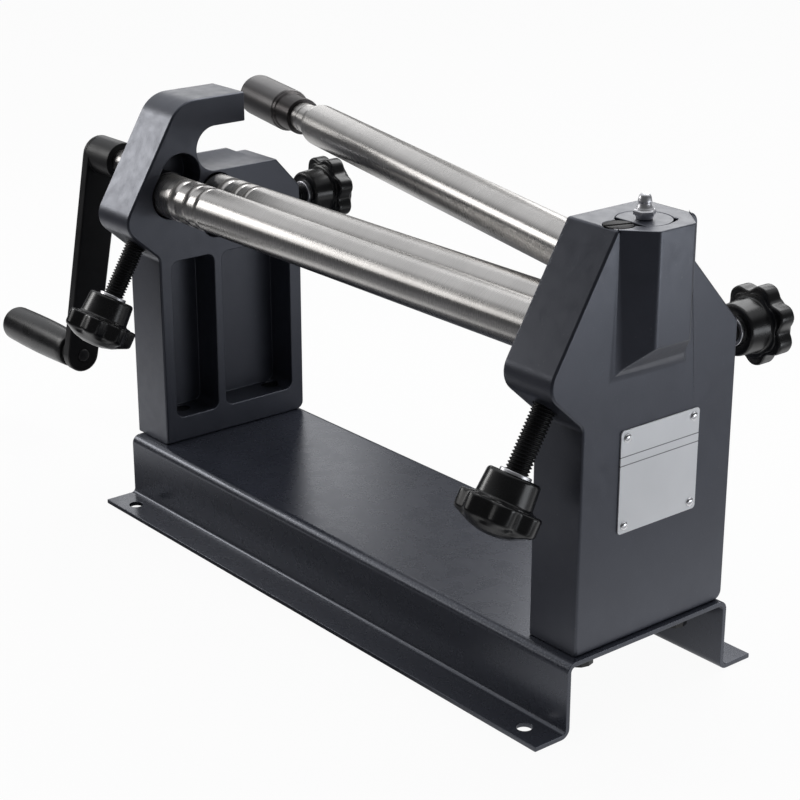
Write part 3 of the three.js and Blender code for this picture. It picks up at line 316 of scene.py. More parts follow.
# %% Steel finishes
def turned_steel(name, colour, roughness, turn=0.0, streak=0.75):
    finish, tree, shader = new_finish(name, colour, roughness, metallic=1.0)
    around = (1, 40, 40)
    rings = grain(tree, 0.5, detail=2, stretch=around, turn=(0, 0, turn))
    bands = grain(tree, 14, detail=2, stretch=around, turn=(0, 0, turn))
    smudge = grain(tree, 22, detail=4)
    pale = tuple(min(1.0, c * 1.04) for c in colour)
    dull = tuple(c * 0.95 for c in colour)
    stain = tuple(c * 0.7 for c in colour)
    tint = blend_colours(tree, spread(tree, bands, 0, 1), dull, pale)
    tint = blend_colours(tree, spread(tree, smudge, 0.0, 0.05, start=0.5, end=0.75), tint, stain)
    fine = spread(tree, rings, roughness - 0.01, roughness + 0.01)
    even = maths(tree, "ADD", fine, spread(tree, smudge, 0.0, 0.015))
    feed(tree, shader, Base_Color=tint, Roughness=even)
    shader.inputs["Anisotropic"].default_value = streak
    lengthwise = add_node(tree, "ShaderNodeVectorTransform", {
        "vector_type": "VECTOR", "convert_from": "OBJECT", "convert_to": "WORLD",
    })
    lengthwise.inputs[0].default_value = (math.cos(turn), -math.sin(turn), 0)
    feed(tree, shader, Tangent=lengthwise.outputs[0])
    dents(tree, shader, (rings, 0.03, 0.002))
    return finish


GROUND_GREY = (0.56, 0.545, 0.53)
ROLL_STEEL = turned_steel("roll_steel", GROUND_GREY, 0.27)
TOP_ROLL_STEEL = turned_steel("top_roll_steel", GROUND_GREY, 0.27, turn=SWING)
SLEEVE_STEEL = turned_steel("sleeve_steel", (0.17, 0.165, 0.165), 0.36, turn=SWING)
COLLAR_STEEL = turned_steel("collar_steel", (0.075, 0.070, 0.070), 0.36, turn=SWING)
ZINC = turned_steel("zinc_plate", (0.82, 0.82, 0.85), 0.36, streak=0.0)
IRON = turned_steel("bearing_iron", (0.13, 0.13, 0.135), 0.40, streak=0.0)

# %% [markdown]
# ## Black finishes
#
# Five blacks sit side by side and are told apart mostly by their shine: moulded knobs are glossy with
# a faint flow grain, the crank has satin paint, its grip is a smoother satin, the studs are oiled black
# oxide, and the slotted stop screw is a duller, greyer oxide. One function makes them all from a few
# numbers.

# %% Black finishes
def black_finish(name, shade, roughness, peel_mm, specular=0.5):
    finish, tree, shader = new_finish(name, (shade, shade, shade * 1.08), roughness, specular=specular)
    cloud = grain(tree, 14, detail=4)
    dust = spread(tree, grain(tree, 0.7, detail=2), 0.0, 0.35, start=0.7, end=0.8)
    darker = (shade * 0.75, shade * 0.75, shade * 0.82)
    lighter = (shade * 1.3, shade * 1.3, shade * 1.4)
    body = shades(tree, cloud, (0.3, darker), (0.7, lighter))
    colour = blend_colours(tree, dust, body, (0.05, 0.05, 0.053))
    feed(tree, shader, Base_Color=colour, Roughness=spread(tree, cloud, roughness - 0.04, roughness + 0.06))
    dents(tree, shader, (grain(tree, peel_mm, detail=2), 0.3, 0.03))
    return finish


KNOB_BLACK = black_finish("knob_black", 0.0075, 0.24, 2.2)
CRANK_BLACK = black_finish("crank_black", 0.009, 0.38, 1.6, specular=0.35)
GRIP_BLACK = black_finish("grip_black", 0.010, 0.27, 3.0)
OXIDE_BLACK = black_finish("oxide_black", 0.012, 0.38, 0.6, specular=0.45)
SCREW_BLACK = black_finish("screw_black", 0.022, 0.50, 0.6, specular=0.12)

# %% [markdown]
# ## The plate's metal
#
# The plate is thin rolled aluminium with a satin surface: fine scratches all run one way. It is left
# blank but for two ruled lines. They could be thin pieces of their own, but a line in the finish has
# no thickness that could flicker, and the plate stands upright, so the height alone can draw it.

# %% Plate aluminium
RULED_LINES = (136.2, 131.8)


def plate_aluminium():
    finish, tree, shader = new_finish("plate_aluminium", (0.85, 0.86, 0.88), 0.40, metallic=0.55)
    scratch = grain(tree, 0.4, detail=3, stretch=(1, 60, 1))
    cloud = grain(tree, 40, detail=2)
    colour = shades(tree, cloud, (0.3, (0.81, 0.82, 0.84)), (0.7, (0.88, 0.89, 0.91)))
    for level in RULED_LINES:
        line = spread(tree, off_by(tree, "Z", level), 0.85, 0.0, start=0.16 * MM, end=0.30 * MM)
        colour = blend_colours(tree, line, colour, (0.03, 0.03, 0.035))
    feed(tree, shader, Base_Color=colour, Roughness=spread(tree, scratch, 0.37, 0.43))
    dents(tree, shader, (scratch, 0.1, 0.004))
    return finish


PLATE_ALUMINIUM = plate_aluminium()
RIVET_ALUMINIUM = turned_steel("rivet_aluminium", (0.80, 0.80, 0.82), 0.2, streak=0.0)

# %% [markdown]
# ## Pieces: a small kit
#
# Most round pieces are turned: a few points are joined into half a section, and `spin` sweeps it
# round. `finish_piece` then closes the seam, turns the faces outwards, shades the piece and hangs it on
# the body that carries it. Points closer than WELD, in metres, count as one.

# %% Helpers for pieces
WELD = 1e-6


def finish_piece(bm, name, body, slot, *finishes, replaces, crease=35):
    bmesh.ops.remove_doubles(bm, verts=bm.verts, dist=WELD)
    bmesh.ops.recalc_face_normals(bm, faces=bm.faces)
    mesh = bpy.data.meshes.new(name)
    bm.to_mesh(mesh)
    bm.free()
    for finish in finishes:
        mesh.materials.append(finish)
    mesh.shade_smooth()
    mesh.set_sharp_from_angle(angle=math.radians(crease))
    piece = bpy.data.objects.new(name, mesh)
    bpy.context.scene.collection.objects.link(piece)
    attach(piece, body)
    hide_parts(*replaces)
    print(f"{name}: {len(mesh.polygons)} faces")
    return piece


def half_section(points):
    """A bmesh with the (radius, height) points in mm joined into one line, in the plane of x and z."""
    bm = bmesh.new()
    verts = [bm.verts.new((radius * MM, 0, height * MM)) for radius, height in points]
    for first, second in zip(verts, verts[1:]):
        bm.edges.new((first, second))
    return bm


def turned(points, steps):
    """The section swept round z."""
    bm = half_section(points)
    bmesh.ops.spin(
        bm, geom=bm.verts[:] + bm.edges[:], cent=(0, 0, 0), axis=(0, 0, 1), angle=2 * math.pi,
        steps=steps, use_merge=True,
    )
    return bm


def softened(points, radius, steps=3):
    """The same section with each inner corner rounded by radius, in mm."""
    out = [points[0]]
    for before, here, after in zip(points, points[1:], points[2:]):
        corner = Vector(here)
        back, on = Vector(before) - corner, Vector(after) - corner
        reach = min(radius, back.length * 0.45, on.length * 0.45)
        start, end = corner + back.normalized() * reach, corner + on.normalized() * reach
        for i in range(steps + 1):
            t = i / steps
            out.append(tuple(start * (1 - t) ** 2 + corner * 2 * t * (1 - t) + end * t ** 2))
    return out + [points[-1]]


def lay_along_x(bm, centre, swing=0.0):
    """Turns a piece made along z to lie along x, swung about z, with its zero at centre."""
    turn = Matrix.Rotation(-swing, 4, "Z") @ Matrix.Rotation(math.pi / 2, 4, "Y")
    bmesh.ops.transform(bm, matrix=Matrix.Translation(centre) @ turn, verts=bm.verts)


# %% [markdown]
# ## The pad of the swivel standard
#
# The boss that holds the swivel grows out of the outer face of the casting as a flat pad with slanted
# sides. A founder never leaves a sharp inner corner there, because the sand would break away, so the
# pad runs out in a soft hollow. This is done on a copy of the solid, by moving a few corners and
# bevelling the front root and the foot line widely. The back root stays sharp, because a bevel there
# drew a dark line down the outer face.

# %% Pad
PAD_HALF, PAD_FOOT, PAD_HOLLOW, CASTING_EDGE = 23.2, 178.5, 4.0, 1.2
PAD_CORNER, CORNER_REACH, CORNER_SHIFT = (8.0, 13.0), 7.5, 2.4


def near(vert, x=None, y=None, z=None, reach=0.05):
    """Whether a corner has these drawing coordinates, in mm."""
    here = (vert.co - ORIGIN) / MM
    return all(wanted is None or abs(value - wanted) < reach for value, wanted in zip(here, (x, y, z)))


def settle_pad(bm):
    """Lets the pad of the swivel standard run out softly on the outer face."""
    face, front, back = GAP + THICK, PINCH_Y - PAD_HALF, PINCH_Y + PAD_HALF
    for y in (front, back):
        corner = [v for v in bm.verts if near(v, face, y, CASTING_TOP)]
        inner = [v for v in bm.verts if near(v, face - CASTING_EDGE, y, CASTING_TOP)]
        bmesh.ops.weld_verts(bm, targetmap=dict(zip(corner, inner)))
    out, behind = PAD_CORNER
    back_corner = [v for v in bm.verts if near(v, face + out, PINCH_Y + behind, reach=CORNER_REACH)]
    bmesh.ops.translate(bm, vec=(0, CORNER_SHIFT * MM, 0), verts=back_corner)
    lines = [
        e for e in bm.edges
        if all(near(v, face, front) for v in e.verts) or all(near(v, face, z=PAD_FOOT) for v in e.verts)
    ]
    bmesh.ops.bevel(
        bm, geom=lines, offset=PAD_HOLLOW * MM, offset_type="OFFSET", affect="EDGES", segments=4,
        profile=0.5, material=-1, clamp_overlap=False,
    )
    print("pad of the swivel standard:", len(back_corner), "corners moved,", len(lines), "lines softened")


# %% [markdown]
# ## Castings, base and crank arm: rounded edges
#
# These shapes are already right in the solids, but no real edge is knife sharp. A copy of the solid
# is merged, its flat faces are joined again, and every sharp edge gets a small bevel: the
# light then runs along it as a fine line. A weighted normal modifier keeps the large faces flat to the
# eye.

# %% Rounded copies of solids
FLAT, SHARP = math.radians(0.6), math.radians(38)


def rounded_copy(node, name, body, slot, finish, width_mm, settle=None):
    bm = bmesh.new()
    bm.from_mesh(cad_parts[node].data)
    bmesh.ops.remove_doubles(bm, verts=bm.verts, dist=2 * WELD)
    bmesh.ops.dissolve_limit(
        bm, angle_limit=FLAT, verts=bm.verts, edges=bm.edges, use_dissolve_boundaries=False,
    )
    bmesh.ops.dissolve_degenerate(bm, dist=20 * WELD, edges=bm.edges)
    if settle:
        settle(bm)
    edges = [e for e in bm.edges if len(e.link_faces) == 2 and e.calc_face_angle(0) > SHARP]
    bmesh.ops.bevel(
        bm, geom=edges, offset=width_mm * MM, offset_type="OFFSET", affect="EDGES", segments=2,
        profile=0.5, material=-1, clamp_overlap=False,
    )
    piece = finish_piece(bm, name, body, slot, finish, replaces=(node,))
    flat = piece.modifiers.new("flat faces", "WEIGHTED_NORMAL")
    flat.keep_sharp = True
    flat.weight = 80


rounded_copy("left_standard", "hook_casting", "frame", "grey_paint", CASTING_PAINT, 0.6)
rounded_copy("right_standard", "swivel_casting", "frame", "grey_paint", CASTING_PAINT, 0.6, settle_pad)
rounded_copy("base_channel", "folded_base", "frame", "grey_paint", SHEET_PAINT, 0.35)
rounded_copy("crank_arm", "crank_lever", "rear_roll_body", "black_paint", CRANK_BLACK, 0.5)
rounded_copy("swivel_block", "swivel_plug", "swivel", "grey_paint", CASTING_PAINT, 0.35)
rounded_copy("nameplate", "blank_plate", "frame", "plate_aluminium", PLATE_ALUMINIUM, 0.15)

# %% [markdown]
# ## Lower rolls
#
# Each roll is one turned bar: a ground body, a small chamfer at each end, thinner journals, and near
# the hook end three round grooves in which wire is bent. The grooves could be cut from a plain bar with
# a boolean, but a turned section is cleaner: each groove is a shallow arc in it. The section is swept in
# 96 steps, so that the outline of the roll stays round.

# %% Lower rolls
ROLL, ROLL_EDGE = 12.7, 0.6
GROOVES = ((17.5, 3.5), (31.0, 2.5), (41.0, 1.9))


def arc(radius, height, width, rise, angles):
    """Section points on an oval about (radius, height), at these angles in degrees."""
    turns = [math.radians(angle) for angle in angles]
    return [(radius + width * math.cos(t), height + rise * math.sin(t)) for t in turns]


def lower_roll(name, node, body, centre, start, end, journal, shaft_start, shaft_end):
    section = [
        (0, shaft_start), (journal - ROLL_EDGE, shaft_start), (journal, shaft_start + ROLL_EDGE),
        (journal, start), (ROLL - ROLL_EDGE, start), (ROLL, start + ROLL_EDGE),
    ]
    for at, radius in GROOVES:
        section += arc(ROLL, at, 0.8 * radius, -radius, range(90, 271, 18))
    section += [
        (ROLL, end - ROLL_EDGE), (ROLL - ROLL_EDGE, end), (journal, end),
        (journal, shaft_end - ROLL_EDGE), (journal - ROLL_EDGE, shaft_end), (0, shaft_end),
    ]
    bm = turned(section, steps=96)
    lay_along_x(bm, centre)
    finish_piece(bm, name, body, "roll_steel", ROLL_STEEL, replaces=(node,), crease=25)


lower_roll(
    "bending_roll", "front_roll", "front_roll_body", place(0, FRONT_Y, FRONT_Z),
    start=-4.0, end=GAP + 4.0, journal=9.0, shaft_start=-17.0, shaft_end=GAP + 17.0,
)
lower_roll(
    "driven_roll", "rear_roll", "rear_roll_body", place(0, PINCH_Y, REAR_Z),
    start=1.0, end=GAP - 1.0, journal=8.0, shaft_start=-133.45, shaft_end=GAP + 24.0,
)

# %% [markdown]
# ## The top roll
#
# The top roll is turned in the same way, but its free end narrows through a curved flare to a neck,
# and ends in a thin spigot. It is drawn along its own axis, from the free end to the swivel, with its
# zero at the swivel, and then swung out by the angle at which the photograph shows it. Drawing it in
# its swung place would be harder to read.

# %% Top roll
SPIGOT, SPIGOT_END, NECK, NECK_END = 6.5, -433.0, 9.0, -391.0
FLARE_END, FLARE_LENGTH = -362.5, 12.0


def flare_section(steps=14):
    """The curve from the neck up to the full roll."""
    points = []
    for i in range(steps + 1):
        along = i / steps
        swell = math.sin(along * math.pi / 2)
        points.append((NECK + (ROLL - NECK) * swell, FLARE_END - FLARE_LENGTH * (1 - along)))
    return points


TOP_SECTION = [
    (0, SPIGOT_END), (SPIGOT, SPIGOT_END), (SPIGOT, NECK_END), (NECK - 0.2, NECK_END),
    (NECK, NECK_END + 0.2), (NECK, -383.6), (8.6, -383.2), (8.6, -382.4), (NECK, -382.0),
    *flare_section(),
    (ROLL, -36.1), (ROLL - ROLL_EDGE, -35.5), (8.0, -35.5), (8.0, 9.5), (0, 9.5),
]
bm = turned(TOP_SECTION, steps=96)
lay_along_x(bm, place(SWIVEL_X, PINCH_Y, TOP_ROLL_Z), SWING)
finish_piece(
    bm, "swing_out_roll", "top_roll_body", "roll_steel", TOP_ROLL_STEEL,
    replaces=("top_roll",), crease=25,
)

# %% [markdown]
# ## The sleeve
#
# A dark sleeve sits on the spigot as a handle, with a narrower, darker collar next to the neck. Two
# pieces would do, but the sleeve is one part, so one turned piece carries two finishes, and each face
# takes its finish by where it lies along the axis. The outer end is rounded more than the other
# corners, since a hand closes round it.

# %% Sleeve
SLEEVE, SLEEVE_END, COLLAR_START = 13.3, -466.05, -412.4
SLEEVE_SECTION = [
    (0, SLEEVE_END), (SLEEVE, SLEEVE_END), (SLEEVE, -413.1), (12.4, -412.1), (12.3, -410.1),
    (11.3, -409.1), (11.3, -391.05), (6.65, -391.05), (6.65, -433.1), (0, -433.1),
]
halfway = (SLEEVE, -440.0)
outer_end = softened([*SLEEVE_SECTION[:2], halfway], 2.5, steps=6)[:-1]
bm = turned(outer_end + softened(SLEEVE_SECTION[2:], 0.6), steps=80)
for face in bm.faces:
    face.material_index = 1 if face.calc_center_median().z > COLLAR_START * MM else 0
lay_along_x(bm, place(SWIVEL_X, PINCH_Y, TOP_ROLL_Z), SWING)
finish_piece(
    bm, "handle_sleeve", "top_roll_body", "dark_steel", SLEEVE_STEEL, COLLAR_STEEL,
    replaces=("top_roll_sleeve",), crease=30,
)

# %% [markdown]
# ## Grease nipple
#
# The nipple on the swivel has a cone at its foot, a hexagon for the spanner, a body that narrows to a
# waist and an egg-shaped head that the grease gun grips. All but the hexagon is round and is swept in
# one section. The hexagon is a sweep too, in only six steps, and its upper corners are cut back. Heights
# are counted from the top of the casting.

# %% Nipple
NIPPLE_SECTION = [
    (0, -23.0), (2.9, -23.0), (2.9, 0), (3.8, 0.05), (4.2, 1.2), (4.7, 2.4), (3.9, 2.5), (4.3, 4.4),
    (3.6, 5.4), (3.15, 6.6), (2.95, 7.6), (3.3, 8.0), (3.25, 8.7), (3.0, 9.9), (2.6, 11.0), (2.0, 11.7),
    (1.2, 12.0), (0, 12.0),
]
HEXAGON_SECTION = [(0, 2.0), (5.2, 2.0), (5.4, 2.3), (5.4, 3.9), (4.9, 4.4), (0, 4.4)]


def joined(first, second):
    """Adds the faces of the second bmesh to the first."""
    mesh = bpy.data.meshes.new("part")
    second.to_mesh(mesh)
    second.free()
    first.from_mesh(mesh)
    bpy.data.meshes.remove(mesh)
    return first


nipple = joined(turned(softened(NIPPLE_SECTION, 0.25), steps=48), turned(HEXAGON_SECTION, steps=6))
bmesh.ops.translate(nipple, vec=place(SWIVEL_X, PINCH_Y, CASTING_TOP), verts=nipple.verts)
finish_piece(nipple, "grease_point", "swivel", "zinc_plate", ZINC, replaces=("grease_nipple",), crease=40)

# %% [markdown]
# ## Slotted stop screw
#
# A slotted screw stands in front of the swivel, with its flat head level with the casting. The slot
# could be cut with a boolean, but two half moons on a turned disc give the same shape with clean edges:
# each starts as one flat face, is drawn upwards, and has its rim bevelled. The screw is then turned to
# the angle that its slot has in the photograph.

# %% Stop screw
STOP_Y, STOP_TURN = -3.5, math.radians(70)
STOP_HEAD, HEAD_FOOT, STOP_SHANK, SHANK_FOOT = 7.1, -3.4, 2.5, -19.4
HALF_SLOT, SLOT_FLOOR = 0.8, -1.6


def half_moon(radius, half_slot, low, high, side, steps=24):
    """One side of a slotted screw head, with its upper edges cut back a little."""
    bm = bmesh.new()
    first = math.asin(half_slot / radius)
    angles = [first + (math.pi - 2 * first) * i / steps for i in range(steps + 1)]
    points = [(radius * math.cos(a), side * radius * math.sin(a), low) for a in angles]
    foot = bm.faces.new([bm.verts.new(Vector(point) * MM) for point in points])
    grown = bmesh.ops.extrude_face_region(bm, geom=[foot])["geom"]
    lifted = [v for v in grown if isinstance(v, bmesh.types.BMVert)]
    bmesh.ops.translate(bm, vec=(0, 0, (high - low) * MM), verts=lifted)
    rim = [e for e in bm.edges if all(v in lifted for v in e.verts)]
    bmesh.ops.bevel(
        bm, geom=rim, offset=0.25 * MM, affect="EDGES", segments=2, profile=0.5, material=-1,
    )
    return bm


stop_screw = turned(softened([
    (0, SHANK_FOOT), (STOP_SHANK, SHANK_FOOT), (STOP_SHANK, HEAD_FOOT),
    (STOP_HEAD, HEAD_FOOT), (STOP_HEAD, SLOT_FLOOR), (0, SLOT_FLOOR),
], 0.2), steps=48)
for side in (-1, 1):
    stop_screw = joined(stop_screw, half_moon(STOP_HEAD, HALF_SLOT, SLOT_FLOOR - 0.05, 0.0, side))
bmesh.ops.rotate(
    stop_screw, cent=(0, 0, 0), matrix=Matrix.Rotation(STOP_TURN, 3, "Z"), verts=stop_screw.verts,
)
bmesh.ops.translate(stop_screw, vec=place(SWIVEL_X, STOP_Y, CASTING_TOP), verts=stop_screw.verts)
finish_piece(
    stop_screw, "slotted_screw", "frame", "black_oxide", SCREW_BLACK, replaces=("swivel_stop_screw",),
)

# %% [markdown]
# ## Rivets of the plate
#
# Four small rivets hold the plate, one near each corner. A rivet is a short pin with a low, domed head.
# One could be made and copied, but its sweep is quick, so the same section, a pin and an arc, is swept
# again for each of the four.

# %% Rivets
PLATE_FRONT, PLATE_FOOT, PLATE_WIDTH, PLATE_HEIGHT, RIVET_INSET = -4.5, 96.8, 53.0, 52.7, 4.0
RIVET_SECTION = [(0, -4.1), (1.0, -4.1), (1.0, 0.9), *arc(0, 0.9, 2.4, 1.3, range(0, 90, 10)), (0, 2.2)]
front, back = PLATE_FRONT + RIVET_INSET, PLATE_FRONT + PLATE_WIDTH - RIVET_INSET
low, high = PLATE_FOOT + RIVET_INSET, PLATE_FOOT + PLATE_HEIGHT - RIVET_INSET
for number, (y, z) in enumerate([(front, low), (back, low), (back, high), (front, high)], start=1):
    bm = turned(RIVET_SECTION, steps=28)
    lay_along_x(bm, place(GAP + THICK, y, z))
    finish_piece(
        bm, f"plate_rivet_{number}", "frame", "plate_aluminium", RIVET_ALUMINIUM,
        replaces=(f"nameplate_rivet_{number}",), crease=50,
    )

# %% [markdown]
# ## Knobs
#
# A star knob is moulded round a metal bush. It could be cut from a seven-lobed outline, but its edges are
# all rounded, and that is easier the other way about: the blank is turned first, with its fillets, and
# then the rim is pressed in between the lobes. Points near the hub stay, and points at the rim move most.

# %% Knob
LOBES, KNOB_RIM, KNOB_DEPTH = 7, 21.0, 3.5
KNOB_STILL, KNOB_BLEND = 15.0, 5.0
KNOB_SECTION = [
    (0, -30.0), (6.0, -29.6), (11.5, -28.1), (16.0, -25.9), (19.4, -24.4), (20.6, -23.6), (KNOB_RIM, -22.6),
    (KNOB_RIM, -15.4), (20.7, -14.5), (19.8, -14.1), (17.2, -14.0), (16.7, -13.6), (15.0, -13.3),
    (14.2, -12.6), (13.4, -1.4), (12.9, -0.5), (12.0, 0), (8.15, 0), (8.15, -11.8), (0, -11.8),
]


def star_knob(turn):
    """A knob with its zero at the hub face; turn says where its first lobe points."""
    bm = turned(softened(KNOB_SECTION, 0.5, steps=2), steps=LOBES * 18)
    for vert in bm.verts:
        radius = math.hypot(vert.co.x, vert.co.y) / MM
        if radius > KNOB_STILL:
            angle = math.atan2(vert.co.y, vert.co.x)
            valley = (0.5 - 0.5 * math.cos(LOBES * (angle - turn))) ** 1.4
            share = min(1.0, (radius - KNOB_STILL) / KNOB_BLEND)
            scale = 1 - KNOB_DEPTH * valley * share * share * (3 - 2 * share) / radius
            vert.co.x *= scale
            vert.co.y *= scale
    return bm


print("knob:", LOBES, "lobes,", 2 * KNOB_RIM, "mm across")

# %% [markdown]
# ## Studs and bushes
#
# Each stud is M12 with a pitch of 1.75 mm. A real thread is one ridge that climbs, and `spin` can do
# just that: the section holds a row of teeth, and each step of the sweep also lifts it by a fraction of a
# pitch, so that after one turn every tooth meets the next one. Both ends are hidden, and are closed with a
# face. The metal bush in each knob is a plain turned ring.

# %% Thread
PITCH, THREAD_OUT, THREAD_IN = 1.75, 5.95, 4.95


def threaded(start, end, steps=36):
    """A threaded rod; each tooth rises over 0.40 of the pitch, is flat for 0.12 and falls over 0.40."""
    teeth = int((end - start) / PITCH)
    section = [(0, start)]
    for i in range(teeth):
        foot = start + i * PITCH
        section += [
            (THREAD_IN, foot), (THREAD_OUT, foot + 0.40 * PITCH), (THREAD_OUT, foot + 0.52 * PITCH),
            (THREAD_IN, foot + 0.92 * PITCH),
        ]
    section += [(THREAD_IN, start + teeth * PITCH), (0, start + teeth * PITCH)]
    bm = half_section(section)
    bmesh.ops.spin(
        bm, geom=bm.verts[:] + bm.edges[:], cent=(0, 0, 0), axis=(0, 0, 1), angle=2 * math.pi,
        steps=steps, dvec=(0, 0, PITCH * MM / steps), use_merge=False,
    )
    bmesh.ops.remove_doubles(bm, verts=bm.verts, dist=WELD)
    bmesh.ops.holes_fill(bm, edges=[e for e in bm.edges if e.is_boundary], sides=0)
    return bm


BUSH_SECTION = [(6.05, 1.5), (7.7, 1.5), (8.0, 1.2), (8.0, -11.5), (6.05, -11.5), (6.05, 1.5)]
STUD_IN_KNOB = 11.0


def add_screw(word, centre, axis_turn, tip, hub, knob_turn):
    """Stud, knob and bush of one adjusting screw; tip and hub count outwards from centre."""
    where = Matrix.Translation(centre) @ axis_turn
    knob_place = where @ Matrix.Translation((0, 0, -hub * MM))
    thread = threaded(-hub - STUD_IN_KNOB, -tip - PITCH)
    knob = star_knob(math.radians(knob_turn))
    bush = turned(softened(BUSH_SECTION, 0.2, steps=2), steps=48)
    for bm, spot, name, node, slot, finish, crease in (
        (thread, where, "thread", "stud", "black_oxide", OXIDE_BLACK, 30),
        (knob, knob_place, "star_knob", "knob", "black_plastic", KNOB_BLACK, 42),
        (bush, knob_place, "bush", "knob_insert", "zinc_plate", ZINC, 35),
    ):
        bmesh.ops.transform(bm, matrix=spot, verts=bm.verts)
        finish_piece(
            bm, f"{word}_{name}", f"{word}_screw", slot, finish, replaces=(f"{word}_{node}",), crease=crease,
        )


print("thread:", 2 * THREAD_OUT, "mm across, pitch", PITCH, "mm")

# %% [markdown]
# ## The four adjusting screws
#
# Two screws stand in the sloped front faces and two point forwards from behind, so one function places
# them all by a turn and a distance. Somebody set each knob by hand, so each stands at its own angle, and
# the rear ones at their own distance, as in the photograph.

# %% Adjusting screws
FRONT_TURN = Matrix.Rotation(-FACE_TILT, 4, "X")
REAR_TURN = Matrix.Rotation(math.pi / 2, 4, "X")
FRONT_TIP, FRONT_HUB, REAR_TIP = 12.3, 68.0, 36.0
for end, x, rear_hub, front_angle, rear_angle in (
    ("left", -STUD_INSET, 86.5, 5.0, 18.0),
    ("right", GAP + STUD_INSET, 90.5, 12.7, 24.5),
):
    add_screw(f"front_{end}", place(x, FRONT_Y, FRONT_Z), FRONT_TURN, FRONT_TIP, FRONT_HUB, front_angle)
    add_screw(f"rear_{end}", place(x, 0, REAR_STUD_Z), REAR_TURN, REAR_TIP, rear_hub, rear_angle)

# %% [markdown]
# ## Grip
#
# The grip is a slim barrel that turns on a pin at the end of the crank. A cylinder with bevelled ends
# would lack the swell that fills the hand, so its side is drawn as half a sine wave on a slight taper
# and turned. Its outer end is hollow, and the head of the pin lies in there.

# %% Grip
LEAN, CRANK, CRANK_OUTER, ARM = math.radians(10.4), 131.3, 133.5, 7.5
PIN, PIN_COLLAR, PIN_COLLAR_LENGTH, PIN_SHOULDER = 4.0, 8.8, 5.5, -CRANK_OUTER - 0.05
GRIP, GRIP_SWELL, GRIP_LENGTH, GRIP_CROWN = 11.5, 0.75, 76.0, 4.0
GRIP_HOLLOW, GRIP_HOLLOW_DEPTH, GRIP_EDGE = 6.8, 5.0, 1.0
GRIP_START = PIN_SHOULDER - PIN_COLLAR_LENGTH - 0.3
GRIP_END = GRIP_START - GRIP_LENGTH
crank_end = place(0, PINCH_Y - CRANK * math.sin(LEAN), REAR_Z - CRANK * math.cos(LEAN))


def barrel_section(steps=14):
    """The side of the grip: a slight taper with a swell, from the crown to the inner end."""
    points = []
    for i in range(steps + 1):
        along = i / steps
        radius = GRIP - 0.5 * along + GRIP_SWELL * math.sin(math.pi * along)
        points.append((radius, GRIP_END + GRIP_CROWN + (GRIP_LENGTH - GRIP_CROWN - GRIP_EDGE) * along))
    return points


bm = turned([
    (GRIP_HOLLOW, GRIP_END), *arc(GRIP - 3.6, GRIP_END + GRIP_CROWN, 3.6, -GRIP_CROWN, range(90, 0, -15)),
    *barrel_section(), (10.6, GRIP_START - 0.3), (10.0, GRIP_START), (PIN + 0.15, GRIP_START),
    (PIN + 0.15, GRIP_END + GRIP_HOLLOW_DEPTH), (GRIP_HOLLOW, GRIP_END + GRIP_HOLLOW_DEPTH),
    (GRIP_HOLLOW, GRIP_END),
], steps=72)
lay_along_x(bm, crank_end)
finish_piece(bm, "hand_grip", "crank_grip_body", "black_plastic", GRIP_BLACK, replaces=("crank_grip",))

# %% [markdown]
# ## Crank pin
#
# The grip turns on this pin. It has a head inside the grip, a collar that keeps the grip off the arm,
# and a shank that is riveted through the arm, so its inner end is a low dome. All of it is round about
# one axis, so one turned section makes it, laid along x like the grip.

# %% Pin
PIN_HEAD, PIN_HEAD_LOW, PIN_HEAD_HIGH, PIN_COLLAR_EDGE = 6.5, GRIP_END + 1.7, GRIP_END + 4.7, 0.4
COLLAR_END, DOME_FOOT = PIN_SHOULDER - PIN_COLLAR_LENGTH, -CRANK_OUTER + ARM + 0.1
bm = turned([
    (0, PIN_HEAD_LOW), (PIN_HEAD - 1.0, PIN_HEAD_LOW), (PIN_HEAD, PIN_HEAD_LOW + 1.0),
    (PIN_HEAD, PIN_HEAD_HIGH), (PIN, PIN_HEAD_HIGH), (PIN, COLLAR_END),
    (PIN_COLLAR - PIN_COLLAR_EDGE, COLLAR_END),
    (PIN_COLLAR, COLLAR_END + PIN_COLLAR_EDGE), (PIN_COLLAR, PIN_SHOULDER - PIN_COLLAR_EDGE),
    (PIN_COLLAR - PIN_COLLAR_EDGE, PIN_SHOULDER), (PIN, PIN_SHOULDER),
    *arc(0, DOME_FOOT, PIN, 0.9, range(0, 90, 15)), (0, DOME_FOOT + 0.9),
], steps=48)
lay_along_x(bm, crank_end)
finish_piece(bm, "grip_pin", "rear_roll_body", "black_oxide", OXIDE_BLACK, replaces=("crank_pin",))

# %% [markdown]
# ## Solids that stay as they are
#
# The bearing blocks, wedge pins, set screw, bolts and washers are small or sit in shadow, inside the
# castings or under the base. They could be made anew too, but their shapes are right, so they only get
# a better finish.

# %% Finishes for the solids that stay
base_fasteners = [
    f"base_{kind}_{side}_{end}"
    for kind in ("bolt", "washer") for side in ("left", "right") for end in ("front", "back")
]
kept = {
    IRON: [
        "front_left_block", "front_right_block", "rear_left_block", "rear_right_block",
        "rear_left_wedge_pin", "rear_right_wedge_pin",
    ],
    OXIDE_BLACK: ["crank_set_screw", *base_fasteners],
}
for finish, names in kept.items():
    for name in names:
        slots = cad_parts[name].data.materials
        slots.clear()
        slots.append(finish)
print("solids kept:", sum(len(names) for names in kept.values()))

# %% [markdown]
# ## Floor
#
# The machine stands on a plain white sweep. To the camera the floor is almost pure white, with the
# faintest shadow. What paint and steel mirror is another matter: for them the paper ends in front of the
# machine and at both sides, and it lies in shade under and behind the machine. Sheets of paper and black
# cards could do this, but a light path node tells the camera's rays from all others, so one floor is
# enough.

